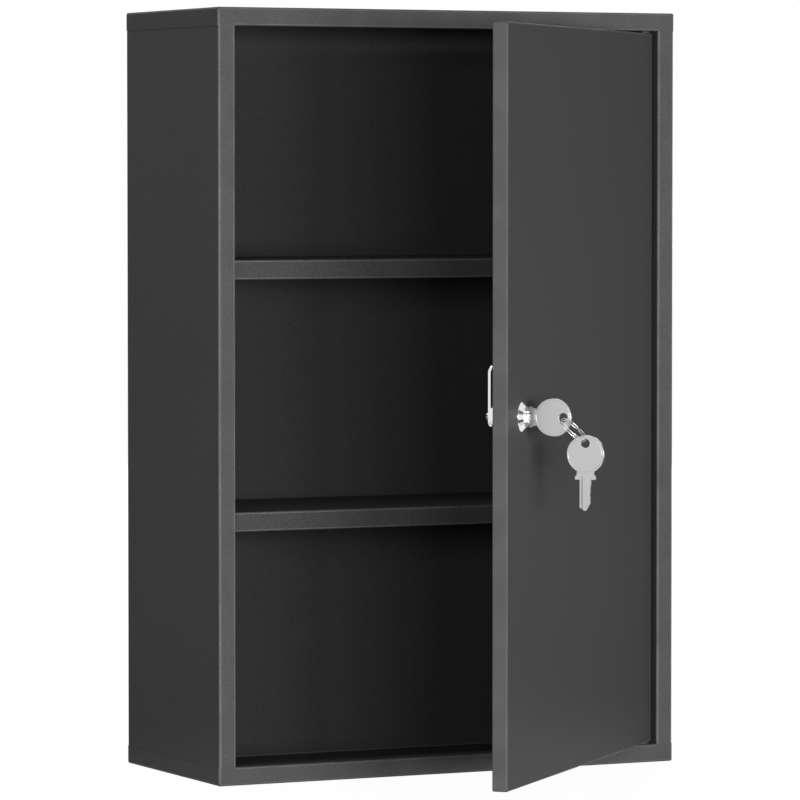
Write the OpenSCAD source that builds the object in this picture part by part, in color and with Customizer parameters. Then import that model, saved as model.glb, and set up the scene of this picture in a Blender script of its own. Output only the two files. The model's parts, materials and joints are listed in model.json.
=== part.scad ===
// Lockable wall cabinet for medicines: folded sheet-steel case with two shelves,
// an inset door on hidden pivots, a cam lock and two keys on a split ring.
// X runs to the right, Y runs back into the wall, Z runs up. The origin is the
// middle of the four wall holes, on the plane of the wall.

/* [Case] */
// Overall width of the case
cab_w = 306; // [250:1:400]
// Overall depth of the case, front face to wall
cab_d = 138; // [110:1:200]
// Overall height of the case
cab_h = 460; // [440:1:600]
// Thickness of the case's steel sheet
sheet = 0.8; // [0.6:0.1:1.2]
// Width of the frame face round the door
frame_w = 11; // [10:0.5:16]
// Depth of the frame's lip behind its face
lip_depth = 12; // [9:0.5:14]
// Step from the caps' side faces in to the side panels
side_inset = 0.3; // [0.1:0.1:0.5]
// Height of each side panel's tabs inside the caps
tab_h = 8; // [5:0.5:9]
// Clearance round pieces that lap inside one another
lap_fit = 0.05; // [0.02:0.01:0.15]

/* [Back panel] */
// Distance from the wall to the back panel
back_recess = 10.7; // [8:0.1:16]
// Distance between the wall holes, side to side
wall_hole_dx = 240; // [140:5:320]
// Distance between the wall holes, top to bottom
wall_hole_dz = 380; // [350:5:410]
// Diameter of each wall hole
wall_hole_d = 7; // [5:0.5:9]
// Outer diameter of the pressed cup round each wall hole
wall_cup_d = 24; // [18:1:30]

/* [Shelves] */
// Height of the lower shelf's top above the base
shelf_z = 161; // [120:1:180]
// Distance from one shelf's top to the next
shelf_pitch = 149.8; // [120:0.1:165]
// Height of a shelf's front rim
shelf_rim = 11.7; // [11:0.1:16]
// Depth of the hem turned back under the front rim
shelf_hem = 8; // [5:0.5:12]
// Distance from the case's front face to a shelf's front rim
shelf_setback = 14.3; // [14.3:0.1:24]
// Gap at each end and behind a shelf
shelf_gap = 0.3; // [0.2:0.1:1]
// Height of a shelf ledge's upright leg
ledge_h = 8; // [6:0.5:9]
// Reach of a shelf ledge's flat leg
ledge_w = 8; // [6:0.5:14]
// Length of a shelf ledge
ledge_len = 80; // [50:1:85]

/* [Door] */
// Overall thickness of the door
door_t = 9.2; // [8.8:0.1:10]
// Thickness of the door's sheet
door_sheet = 0.8; // [0.6:0.1:1]
// Gap between the door's free edge and the frame
gap_free = 1.5; // [1.2:0.1:2.5]
// Gap between the door's hinge edge and the frame
gap_hinge = 3.5; // [3:0.1:5]
// Gap above and below the door
gap_z = 1.35; // [1:0.05:2]
// Width of the lip turned in behind the door's edges
door_lip = 14; // [12:0.5:20]
// Outer corner radius of the door's upright folds
fold_r = 1; // [0.8:0.1:1.5]
// How far the door stands open, in degrees
door_open = 44.2; // [0:0.1:110]

/* [Hinge] */
// Distance from the door's hinge edge in to the pivot
pivot_in = 4; // [3.8:0.1:4.4]
// Distance from the door's front face back to the pivot
pivot_back = 4; // [3.9:0.1:4.4]
// Diameter of the hinge pins
pin_d = 3.6; // [3:0.1:3.8]
// Length of a pin inside the door
pin_reach = 10; // [6:0.5:16]
// Diameter of a pin's rivet head
pin_head_d = 6; // [5:0.1:6.2]
// Height of a pin's rivet head
pin_head_h = 1.5; // [1:0.1:2.5]
// Running clearance round a pin
pin_fit = 0.05; // [0.02:0.01:0.09]
// Wall of the hinge bush
bush_wall = 0.95; // [0.8:0.05:1]
// Diameter of the hinge bush's flange
bush_flange_d = 7.2; // [6.8:0.1:7.4]
// Length of a bush inside the door
bush_len = 5; // [4:0.5:8]
// Thickness of the hinge plates inside the door
plate_t = 1.5; // [1:0.1:2.5]
// Length of a hinge plate
plate_len = 32; // [20:1:50]
// Height of a hinge plate's upright leg
plate_leg = 18; // [14:1:30]

/* [Lock] */
// Distance from the door's free edge to the lock's axis
lock_backset = 25; // [20:0.5:26]
// Distance of the lock's axis below the middle of the door
lock_drop = 6; // [0:0.5:30]
// Diameter of the lock's bezel
bezel_d = 17.4; // [17.1:0.1:20]
// Height of the bezel's upright edge
bezel_edge = 0.8; // [0.5:0.1:1.2]
// Height of the bezel's face above the door
bezel_h = 3.1; // [2.5:0.1:4]
// Width of the flat ring round the plug on the bezel's face
bezel_ring = 0.7; // [0.4:0.1:1]
// Diameter of the threaded barrel
barrel_d = 14; // [13.4:0.1:15]
// Distance across the barrel's two flats
barrel_flats = 12.4; // [12:0.1:13]
// Length of the barrel behind the door's front face
barrel_len = 15.6; // [15.4:0.1:17]
// Depth of the barrel's thread grooves
thread_depth = 0.35; // [0.2:0.05:0.45]
// Distance from one thread groove to the next
thread_pitch = 1; // [0.8:0.1:1.5]
// Distance from the door's face to the first thread groove
thread_start = 2; // [1.5:0.5:4]
// Diameter of the turning plug
plug_d = 10; // [9.8:0.1:10.4]
// Diameter of the plug's rear journal
journal_d = 8.6; // [8.4:0.1:8.8]
// Length of the plug's rear journal
journal_len = 2; // [1.5:0.1:2.5]
// Radial running clearance round the plug
plug_fit = 0.05; // [0.02:0.01:0.09]
// Height of the plug's face above the bezel's face
plug_proud = 0.2; // [0:0.1:0.5]
// Width of the plug's square end
square_w = 5.8; // [5.4:0.1:5.9]
// Clearance of washers and cam round the square end
square_fit = 0.1; // [0.05:0.01:0.2]
// Distance from the plug's face to the first wafer
wafer_start = 5; // [4:0.5:6]
// Number of wafers in the plug
wafer_count = 5; // [3:1:5]
// Distance from one wafer to the next
wafer_pitch = 2.5; // [2.4:0.1:2.6]
// Thickness of a wafer
wafer_t = 0.9; // [0.7:0.1:1.1]
// Width of a wafer
wafer_w = 4.2; // [4:0.1:4.4]
// Height of a wafer
wafer_h = 8.8; // [8.6:0.1:8.9]
// Clearance of a wafer in its slot
wafer_fit = 0.1; // [0.05:0.01:0.15]
// Distance across the nut's flats
nut_af = 17; // [16:0.5:20]
// Thickness of the nut
nut_t = 3.5; // [2.5:0.1:5]
// Outer diameter of the lock washer
washer_d = 20; // [18:0.5:24]
// Thickness of the lock washer
washer_t = 1; // [0.8:0.1:1.5]

/* [Cam] */
// Height of the stop rim on the barrel's rear end
stop_rim_h = 1.2; // [1.1:0.1:1.5]
// Angle that the plug turns through
lock_turn = 90; // [60:5:95]
// Angle left free beside the cam's tail at each end of its turn
stop_spare = 7; // [5:1:12]
// Width of the cam lever
cam_w = 10; // [9:0.5:12]
// Thickness of the cam lever
cam_t = 1.5; // [1.2:0.1:2]
// Reach of the cam lever from the lock's axis
cam_reach = 29.1; // [28.2:0.1:31]
// Reach of the cam lever's tail
cam_tail = 5.9; // [5:0.1:9]
// Length of the bent tip
cam_tip = 3.4; // [2:0.1:4.5]
// How far the tip and tail are bent towards the door
cam_bend = 1.3; // [0.8:0.1:2]
// Corner radius of the cam lever's ends
cam_corner = 2; // [1:0.5:3]
// Diameter of the cam screw's shank
screw_d = 3.9; // [3:0.1:4]
// Length of the screw's thread inside the plug
screw_grip = 3.1; // [2.5:0.1:3.4]
// Diameter of the cam screw's head
screw_head_d = 7.2; // [6.6:0.1:8]
// Height of the cam screw's domed head
screw_head_h = 2.6; // [2.2:0.1:3.2]
// Width of the cross recess in the screw's head
recess_w = 0.8; // [0.6:0.1:1.2]
// Depth of the cross recess in the screw's head
recess_depth = 0.8; // [0.5:0.1:1.2]
// Thickness of the spring washer under the screw's head
spring_washer_t = 0.6; // [0.5:0.1:1]

/* [Keys] */
// Thickness of a key
key_t = 2; // [1.6:0.1:2.1]
// Diameter of a key's round bow
bow_d = 22; // [20:0.5:24]
// Diameter of the hole in the bow
bow_hole_d = 5; // [4.6:0.1:5.4]
// Distance from the bow's middle out to its hole
bow_hole_off = 6.2; // [5.6:0.1:6.6]
// Distance from the shoulder to the bow's middle
bow_off = 14.4; // [14:0.1:16]
// Width of the neck
neck_w = 9.9; // [9:0.1:11]
// Width of the shoulder
shoulder_w = 11.9; // [11.4:0.1:13]
// Length of the shoulder
shoulder_len = 2.6; // [2:0.1:3]
// Length of the shoulder's straight edges
shoulder_edge = 1.8; // [1:0.1:2]
// Width of the blade
blade_w = 6.5; // [6:0.1:6.6]
// Length of the blade
blade_len = 17.6; // [15:0.1:17.8]
// Depth of the blade's cuts
cut_depth = 0.55; // [0.3:0.05:0.8]
// Width of the groove along the blade
groove_w = 1.3; // [0.8:0.1:1.6]
// Depth of the groove along the blade
groove_depth = 0.5; // [0.3:0.1:0.6]
// Distance from the blade's straight edge in to its groove
groove_edge = 1.1; // [0.8:0.1:1.6]
// Clearance of the blade in the keyway
keyway_fit = 0.15; // [0.1:0.01:0.2]
// How far the inserted key stands out from the plug's face
key_out = 1.3; // [1:0.1:4]
// Free depth of the keyway behind a pushed-in blade
keyway_spare = 0.3; // [0.1:0.1:0.5]
// Mean diameter of the split ring
ring_d = 18.3; // [18:0.1:24]
// Diameter of the split ring's wire
ring_wire = 1; // [0.8:0.1:1.2]
// Angle at which the ring leans down from the lock's axis
ring_droop = 42; // [40:1:60]
// Gap between the ring's wire and the edge of each bow's hole
seat_gap = 0.25; // [0.1:0.05:0.3]
// Direction of the wire from the middle of the inserted key's hole
key_seat_angle = 215; // [200:1:270]
// Direction of the wire from the middle of the spare key's hole
spare_seat_angle = 110; // [90:1:130]
// Angle that the spare key is turned about its own length
spare_turn = 5; // [0:1:12]

/* [Hidden] */

$fn = 64;
fine_fn = 96;
wire_fn = 24;
over = 1;

paint = [0.27, 0.27, 0.27];
paint_dark = [0.2, 0.2, 0.2];
steel = [0.72, 0.72, 0.74];
chrome = [0.86, 0.86, 0.88];
brass = [0.78, 0.66, 0.38];
nylon = [0.9, 0.9, 0.86];
nickel = [0.78, 0.78, 0.78];

half_w = cab_w / 2;
half_h = cab_h / 2;
front_y = -cab_d;
open_x = half_w - frame_w;
open_z = half_h - frame_w;
wall_x = half_w - side_inset - sheet;
tab_x = half_w - 2 * sheet - lap_fit;
back_y = -back_recess;

door_x0 = gap_free - open_x;
door_x1 = open_x - gap_hinge;
door_z1 = open_z - gap_z;
door_h = 2 * door_z1;
door_back_y = front_y + door_t;
pivot_x = door_x1 - pivot_in;
pivot_y = front_y + pivot_back;

bush_d = pin_d + 2 * pin_fit + 2 * bush_wall;
bush_seat_d = bush_d + 2 * pin_fit;
bush_flange_t = gap_z - pin_fit;

shelf_front_y = front_y + shelf_setback;
shelf_back_y = back_y - sheet - shelf_gap;
upper_z = shelf_z + shelf_pitch - half_h;
lower_z = shelf_z - half_h;
ledge_y = (shelf_front_y + sheet + shelf_back_y - ledge_len) / 2;

lock_x = door_x0 + lock_backset;
lock_z = -lock_drop;
barrel_end = -barrel_len;
plug_face = bezel_h + plug_proud;
cam_front = barrel_end - stop_rim_h - 2 * plug_fit;
cam_back = cam_front - cam_t;
square_end = cam_back + lap_fit;
washer_back = cam_back - spring_washer_t;
screw_tip = square_end + screw_grip;
tail_flat = journal_d / 2 + 2 * plug_fit;
tail_angle = atan2(cam_w / 2, tail_flat);

key_seat = plug_face + key_out;
keyway_end = plug_face - blade_len - keyway_spare;
wafer_front = plug_face - wafer_start;
wafer_slot_w = wafer_w + 2 * wafer_fit;
wafer_slot_t = wafer_t + 2 * wafer_fit;

// Cuts along the blade's edge: how far along it, then how deep, as parts of cut_depth
key_cuts = [
    [0.14, 0], [0.3, 1], [0.38, 0.5], [0.48, 1.4], [0.58, 0.5], [0.66, 1], [0.76, 0.5]
];
tip_slope = 0.1;

ring_r = ring_d / 2;
turn_off = ring_wire / 2 - lap_fit;
wire_seat_r = bow_hole_d / 2 - ring_wire / 2 - seat_gap;
// Distance from a hole's middle to the middle of the two turns that lie at its edge
function seat_off(angle) =
    let (lean = angle - (90 - ring_droop))
        sqrt(pow(wire_seat_r, 2) - pow(turn_off * sin(lean), 2)) - turn_off * abs(cos(lean));
key_wire_off = seat_off(key_seat_angle);
spare_wire_off = seat_off(spare_seat_angle);
hole_out = key_seat + bow_off + bow_hole_off;
near_out = hole_out + key_wire_off * cos(key_seat_angle);
near_y = key_wire_off * sin(key_seat_angle);
far_out = near_out + ring_d * cos(ring_droop);
far_y = near_y - ring_d * sin(ring_droop);
spare_hole_out = far_out - spare_wire_off * cos(spare_seat_angle);
spare_hole_y = far_y - spare_wire_off * sin(spare_seat_angle);

// A box given by its lowest and highest corners
module box(low, high) {
    translate(low) cube(high - low);
}

// Draws the children and their copy on the other side of the YZ plane
module left_and_right() {
    children();
    mirror([1, 0, 0]) children();
}

// Draws the children turned open with the door
module with_door() {
    translate([pivot_x, pivot_y, 0])
        rotate([0, 0, door_open])
            translate([-pivot_x, -pivot_y, 0])
                children();
}

// Lock frame: z points out of the door's face, y points up, x towards the hinge
module at_lock() {
    with_door()
        translate([lock_x, front_y, lock_z])
            rotate([90, 0, 0])
                children();
}

// A disc with a round hole, from z = low to z = high
module washer(outer_d, hole_d, low, high) {
    translate([0, 0, low])
        difference() {
            cylinder(d = outer_d, h = high - low);
            translate([0, 0, -over]) cylinder(d = hole_d, h = high - low + 2 * over);
        }
}

// A square prism centred on the lock's axis
module square_bar(width, low, high) {
    box([-width / 2, -width / 2, low], [width / 2, width / 2, high]);
}

// ---- case ----

module side_panel() {
    box([-half_w + side_inset, front_y, -open_z], [-wall_x, 0, open_z]);
    box([-half_w + side_inset, front_y, -open_z], [-open_x, front_y + sheet, open_z]);
    box([-open_x - sheet, front_y, -open_z], [-open_x, front_y + lip_depth, open_z]);
    box([-half_w + side_inset, -sheet, -open_z], [-open_x, 0, open_z]);
    for (end = [-1, 1])
        mirror([0, 0, end < 0 ? 1 : 0])
            box([-tab_x - sheet, front_y + sheet + lap_fit, open_z - 2 * sheet],
                [-tab_x, -sheet - lap_fit, open_z + tab_h]);
}

module left_side_panel() {
    color(paint) side_panel();
}

module right_side_panel() {
    color(paint) mirror([1, 0, 0]) side_panel();
}

// Tray of the top cap; the bottom cap is its mirror image
module cap() {
    difference() {
        union() {
            box([-half_w, front_y, half_h - sheet], [half_w, 0, half_h]);
            left_and_right()
                box([-half_w, front_y, open_z], [-half_w + sheet, 0, half_h]);
            box([-half_w, front_y, open_z], [half_w, front_y + sheet, half_h]);
            box([-open_x - sheet, front_y, open_z],
                [open_x + sheet, front_y + lip_depth, open_z + sheet]);
            box([-half_w, -sheet, open_z], [half_w, 0, half_h]);
        }
        translate([pivot_x, pivot_y, open_z - over])
            cylinder(d = pin_d + 2 * pin_fit, h = sheet + 2 * over);
    }
}

module top_cap() {
    color(paint) cap();
}

module bottom_cap() {
    color(paint) mirror([0, 0, 1]) cap();
}

module back_panel() {
    edge_x = tab_x - lap_fit;
    edge_z = half_h - sheet - lap_fit;
    color(paint_dark)
        difference() {
            union() {
                box([-edge_x, back_y - sheet, -edge_z], [edge_x, back_y, edge_z]);
                left_and_right()
                    box([-edge_x, back_y - sheet, -edge_z], [-edge_x + sheet, -sheet, edge_z]);
                for (end = [0, 1])
                    mirror([0, 0, end])
                        box([-edge_x, back_y - sheet, edge_z - sheet], [edge_x, -sheet, edge_z]);
                wall_cups(wall_cup_d, back_y - sheet, 0);
            }
            wall_cups(wall_cup_d - 2 * sheet, back_y - sheet - over, -sheet);
            wall_cups(wall_hole_d, -cab_d, over);
        }
}

// Four cylinders on the wall holes' centres, from y = low to y = high
module wall_cups(diameter, low, high) {
    for (x = [-1, 1], z = [-1, 1])
        translate([x * wall_hole_dx / 2, high, z * wall_hole_dz / 2])
            rotate([90, 0, 0])
                cylinder(d = diameter, h = high - low);
}

// Folded shelf whose top face is at height top
module shelf(top) {
    end_x = wall_x - shelf_gap;
    box([-end_x, shelf_front_y, top - sheet], [end_x, shelf_back_y, top]);
    box([-end_x, shelf_front_y, top - shelf_rim], [end_x, shelf_front_y + sheet, top]);
    box([-end_x, shelf_front_y, top - shelf_rim],
        [end_x, shelf_front_y + shelf_hem, top - shelf_rim + sheet]);
    box([-end_x, shelf_back_y - sheet, top - shelf_rim], [end_x, shelf_back_y, top]);
}

module upper_shelf() {
    color(paint) shelf(upper_z);
}

module lower_shelf() {
    color(paint) shelf(lower_z);
}

// Pair of angle ledges welded to the side panels under a shelf
module ledges(top) {
    under = top - sheet;
    left_and_right() {
        box([-wall_x, ledge_y, under - sheet], [-wall_x + ledge_w, ledge_y + ledge_len, under]);
        box([-wall_x, ledge_y, under - ledge_h], [-wall_x + sheet, ledge_y + ledge_len, under]);
    }
}

module upper_shelf_ledges() {
    color(paint_dark) ledges(upper_z);
}

module lower_shelf_ledges() {
    color(paint_dark) ledges(lower_z);
}

// Rivet pin through the frame's lip into the door; the lower pin is its mirror image
module hinge_pin() {
    translate([pivot_x, pivot_y, 0]) {
        translate([0, 0, open_z + sheet])
            cylinder(d = pin_head_d, h = pin_head_h);
        translate([0, 0, door_z1 - pin_reach])
            cylinder(d = pin_d, h = pin_reach + gap_z + sheet + pin_head_h / 2);
    }
}

module upper_hinge_pin() {
    color(steel) hinge_pin();
}

module lower_hinge_pin() {
    color(steel) mirror([0, 0, 1]) hinge_pin();
}

// ---- door ----

// Outline of the folded door seen from above, with rounded upright folds
module door_outline() {
    hull() {
        translate([door_x0 + fold_r, front_y + fold_r]) circle(r = fold_r);
        translate([door_x1 - fold_r, front_y + fold_r]) circle(r = fold_r);
        translate([door_x0, door_back_y - fold_r]) square([door_x1 - door_x0, fold_r]);
    }
}

module door_panel() {
    inner = [door_x0 + door_sheet, front_y + door_sheet, door_z1 - door_sheet];
    color(paint)
        with_door()
            difference() {
                translate([0, 0, -door_z1]) linear_extrude(door_h) door_outline();
                box([inner.x, inner.y, -inner.z],
                    [door_x1 - door_sheet, door_back_y - door_sheet, inner.z]);
                box([door_x0 + door_lip, inner.y, door_lip - door_z1],
                    [door_x1 - door_lip, door_back_y + over, door_z1 - door_lip]);
                translate([pivot_x, pivot_y, -door_z1 - over])
                    cylinder(d = bush_seat_d, h = door_h + 2 * over);
                translate([lock_x, front_y - over, lock_z])
                    rotate([-90, 0, 0])
                        linear_extrude(door_sheet + 2 * over)
                            flatted_disc(barrel_d + 2 * square_fit, barrel_flats + 2 * square_fit);
            }
}

// Disc with two upright flats
module flatted_disc(diameter, flats) {
    intersection() {
        circle(d = diameter);
        square([flats, 2 * diameter], center = true);
    }
}

// Angle plate that stiffens the door where a bush sits
module hinge_plate() {
    top = door_z1 - door_sheet;
    right = door_x1 - door_sheet;
    low_y = front_y + door_sheet;
    high_y = door_back_y - door_sheet;
    with_door()
        difference() {
            union() {
                box([right - plate_len, low_y, top - plate_t], [right, high_y, top]);
                box([right - plate_len, low_y, top - plate_leg],
                    [pivot_x - bush_flange_d, low_y + plate_t, top]);
            }
            translate([pivot_x, pivot_y, top - plate_t - over])
                cylinder(d = bush_seat_d, h = plate_t + 2 * over);
        }
}

module upper_hinge_plate() {
    color(steel) hinge_plate();
}

module lower_hinge_plate() {
    color(steel) mirror([0, 0, 1]) hinge_plate();
}

// Flanged bush that carries the door on a hinge pin
module hinge_bush() {
    with_door()
        translate([pivot_x, pivot_y, door_z1])
            difference() {
                union() {
                    cylinder(d = bush_flange_d, h = bush_flange_t);
                    translate([0, 0, -bush_len]) cylinder(d = bush_d, h = bush_len + bush_flange_t / 2);
                }
                translate([0, 0, -bush_len - over])
                    cylinder(d = pin_d + 2 * pin_fit, h = bush_len + bush_flange_t + 2 * over);
            }
}

module upper_hinge_bush() {
    color(nylon) hinge_bush();
}

module lower_hinge_bush() {
    color(nylon) mirror([0, 0, 1]) hinge_bush();
}

// ---- lock ----

// Flat wedge with its point on the axis, from angle start to angle end
module wedge(reach, start, end) {
    steps = 6;
    polygon([[0, 0], for (i = [0 : steps]) let (a = start + (end - start) * i / steps)
        reach * [cos(a), sin(a)]]);
}

module lock_body() {
    bore_r = plug_d / 2 + plug_fit;
    bezel_r = bezel_d / 2;
    thread_end = barrel_len - nut_t / 2;
    color(chrome)
        at_lock() {
            rotate_extrude($fn = fine_fn)
                polygon([
                    [bore_r, 0], [bezel_r, 0], [bezel_r, bezel_edge],
                    [bore_r + bezel_ring, bezel_h], [bore_r, bezel_h]
                ]);
            difference() {
                intersection() {
                    translate([0, 0, barrel_end]) cylinder(d = barrel_d, h = barrel_len);
                    box([-barrel_flats / 2, -barrel_d, barrel_end], [barrel_flats / 2, barrel_d, 0]);
                }
                translate([0, 0, barrel_end + journal_len])
                    cylinder(r = bore_r, h = barrel_len);
                translate([0, 0, barrel_end - over])
                    cylinder(d = journal_d + 2 * plug_fit, h = barrel_len);
                for (depth = [thread_start : thread_pitch : thread_end])
                    translate([0, 0, -depth])
                        rotate_extrude()
                            polygon([
                                [barrel_d / 2 - thread_depth, 0],
                                [barrel_d / 2 + thread_depth, -thread_pitch / 2],
                                [barrel_d / 2 + thread_depth, thread_pitch / 2]
                            ]);
            }
            translate([0, 0, barrel_end - stop_rim_h])
                linear_extrude(stop_rim_h + journal_len / 2)
                    intersection() {
                        difference() {
                            flatted_disc(barrel_d, barrel_flats);
                            circle(d = journal_d + 2 * plug_fit);
                        }
                        wedge(barrel_d, lock_turn - 90 + tail_angle + stop_spare,
                              270 - tail_angle - stop_spare);
                    }
        }
}

module lock_washer() {
    color(steel)
        at_lock()
            washer(washer_d, barrel_d + 2 * square_fit, -door_sheet - washer_t, -door_sheet);
}

module lock_nut() {
    nut_front = -door_sheet - washer_t;
    color(steel)
        at_lock()
            translate([0, 0, nut_front - nut_t])
                difference() {
                    cylinder(d = nut_af / cos(30), h = nut_t, $fn = 6);
                    translate([0, 0, -over])
                        cylinder(d = barrel_d + 2 * plug_fit, h = nut_t + 2 * over);
                }
}

// Outline that clears the blade: an upright slot
module keyway(fit) {
    square([key_t + 2 * fit, blade_w + 2 * fit], center = true);
}

module lock_plug() {
    color(chrome)
        at_lock()
            difference() {
                union() {
                    translate([0, 0, barrel_end + journal_len + plug_fit])
                        cylinder(d = plug_d, h = plug_face + barrel_len - journal_len - plug_fit);
                    translate([0, 0, cam_front])
                        cylinder(d = journal_d, h = journal_len + 2 * plug_fit - cam_front + barrel_end);
                    square_bar(square_w, square_end, cam_front + journal_len / 2);
                }
                translate([0, 0, keyway_end])
                    linear_extrude(plug_face - keyway_end + over) keyway(keyway_fit);
                for (i = [0 : wafer_count - 1])
                    translate([0, 0, wafer_front - i * wafer_pitch])
                        cube([wafer_slot_w, plug_d + over, wafer_slot_t], center = true);
                translate([0, 0, square_end - over])
                    cylinder(d = screw_d + 2 * plug_fit, h = screw_tip - square_end + over + lap_fit);
            }
}

module lock_wafers() {
    color(brass)
        at_lock()
            for (i = [0 : wafer_count - 1])
                translate([0, 0, wafer_front - i * wafer_pitch - wafer_t / 2])
                    linear_extrude(wafer_t)
                        difference() {
                            square([wafer_w, wafer_h], center = true);
                            keyway(2 * keyway_fit);
                        }
}

// Side profile of the cam lever: y up, z out, with its ends bent towards the door
module cam_profile() {
    polygon([
        [-cam_tail, cam_front + cam_bend], [-tail_flat, cam_front],
        [cam_reach - cam_tip, cam_front], [cam_reach, cam_front + cam_bend],
        [cam_reach, cam_back + cam_bend], [cam_reach - cam_tip, cam_back],
        [-tail_flat, cam_back], [-cam_tail, cam_back + cam_bend]
    ]);
}

module cam_lever() {
    color(chrome)
        at_lock()
            difference() {
                intersection() {
                    translate([-cam_w / 2, 0, 0])
                        rotate([90, 0, 90])
                            linear_extrude(cam_w) cam_profile();
                    translate([0, 0, cam_back - cam_bend])
                        linear_extrude(cam_t + 3 * cam_bend)
                            hull()
                                for (x = [-1, 1], y = [cam_corner - cam_tail, cam_reach - cam_corner])
                                    translate([x * (cam_w / 2 - cam_corner), y])
                                        circle(r = cam_corner);
                }
                square_bar(square_w + 2 * square_fit, cam_back - over, cam_front + over);
            }
}

module spring_washer() {
    color(steel)
        at_lock()
            washer(screw_head_d, screw_d + 2 * square_fit, washer_back, cam_back);
}

// Screw whose domed head clamps the cam lever on the plug's square end
module cam_screw() {
    dome_r = (pow(screw_head_d / 2, 2) + pow(screw_head_h, 2)) / (2 * screw_head_h);
    color(chrome)
        at_lock()
            translate([0, 0, washer_back])
                difference() {
                    union() {
                        intersection() {
                            translate([0, 0, dome_r - screw_head_h]) sphere(r = dome_r, $fn = fine_fn);
                            translate([0, 0, -screw_head_h])
                                cylinder(d = screw_head_d, h = screw_head_h);
                        }
                        translate([0, 0, -screw_head_h / 4])
                            cylinder(d = screw_d, h = screw_tip - washer_back + screw_head_h / 4);
                    }
                    for (turn = [0, 90])
                        rotate([0, 0, turn])
                            translate([0, 0, -screw_head_h])
                                cube([screw_head_d / 2, recess_w, 2 * recess_depth], center = true);
                }
}

// ---- keys ----

// Flat outline of a key: x across, y along, shoulder face at y = 0, blade at y < 0
module key_outline() {
    half = blade_w / 2;
    difference() {
        union() {
            translate([0, bow_off]) circle(d = bow_d, $fn = fine_fn);
            translate([-neck_w / 2, shoulder_len / 2]) square([neck_w, bow_off - shoulder_len / 2]);
            polygon([
                [-shoulder_w / 2, 0], [shoulder_w / 2, 0],
                [shoulder_w / 2, shoulder_edge], [neck_w / 2, shoulder_len],
                [-neck_w / 2, shoulder_len], [-shoulder_w / 2, shoulder_edge]
            ]);
            polygon([
                [-half, shoulder_len / 2],
                for (cut = key_cuts) [cut_depth * cut[1] - half, -blade_len * cut[0]],
                [-cut_depth, -blade_len], [cut_depth, -blade_len],
                [half, -blade_len * (1 - tip_slope)], [half, shoulder_len / 2]
            ]);
        }
        translate([0, bow_off + bow_hole_off]) circle(d = bow_hole_d);
    }
}

// Key standing in the lock frame: its length along z, its width along y
module key_solid() {
    groove_x = blade_w / 2 - groove_edge - groove_w;
    rotate([90, 0, 0])
        rotate([0, 90, 0])
            difference() {
                translate([0, 0, -key_t / 2]) linear_extrude(key_t) key_outline();
                for (face = [-1, 1])
                    translate([0, 0, face * key_t / 2])
                        box([groove_x, -blade_len - over, -groove_depth],
                            [groove_x + groove_w, shoulder_len, groove_depth]);
            }
}

module key() {
    color(nickel) at_lock() translate([0, 0, key_seat]) key_solid();
}

module key_ring() {
    wire_r = ring_wire / 2;
    color(chrome)
        at_lock()
            translate([0, near_y, near_out])
                rotate([ring_droop, 0, 0])
                    translate([0, 0, ring_r])
                        rotate([90, 0, 0])
                            rotate_extrude($fn = fine_fn)
                                translate([ring_r, 0])
                                    for (turn = [-1, 1])
                                        translate([0, turn * turn_off])
                                            circle(r = wire_r, $fn = wire_fn);
}

module spare_key() {
    color(nickel)
        at_lock()
            translate([0, spare_hole_y - bow_hole_off - bow_off, spare_hole_out])
                rotate([-90, 0, 0])
                    rotate([0, 0, spare_turn])
                        key_solid();
}

left_side_panel();
right_side_panel();
top_cap();
bottom_cap();
back_panel();
upper_shelf();
lower_shelf();
upper_shelf_ledges();
lower_shelf_ledges();
upper_hinge_pin();
lower_hinge_pin();
door_panel();
upper_hinge_plate();
lower_hinge_plate();
upper_hinge_bush();
lower_hinge_bush();
lock_body();
lock_washer();
lock_nut();
lock_plug();
lock_wafers();
cam_lever();
spring_washer();
cam_screw();
key();
key_ring();
spare_key();
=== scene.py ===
"""Lockable wall cabinet for medicines, dressed in bent sheet steel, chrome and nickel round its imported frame.

Lengths are in metres, in the frame's own axes: X to the right, Y back into the wall, Z up.
"""

import json
import math

import bmesh
import bpy
from bpy.props import FloatProperty, FloatVectorProperty, IntProperty, PointerProperty
from mathutils import Matrix, Vector


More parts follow.
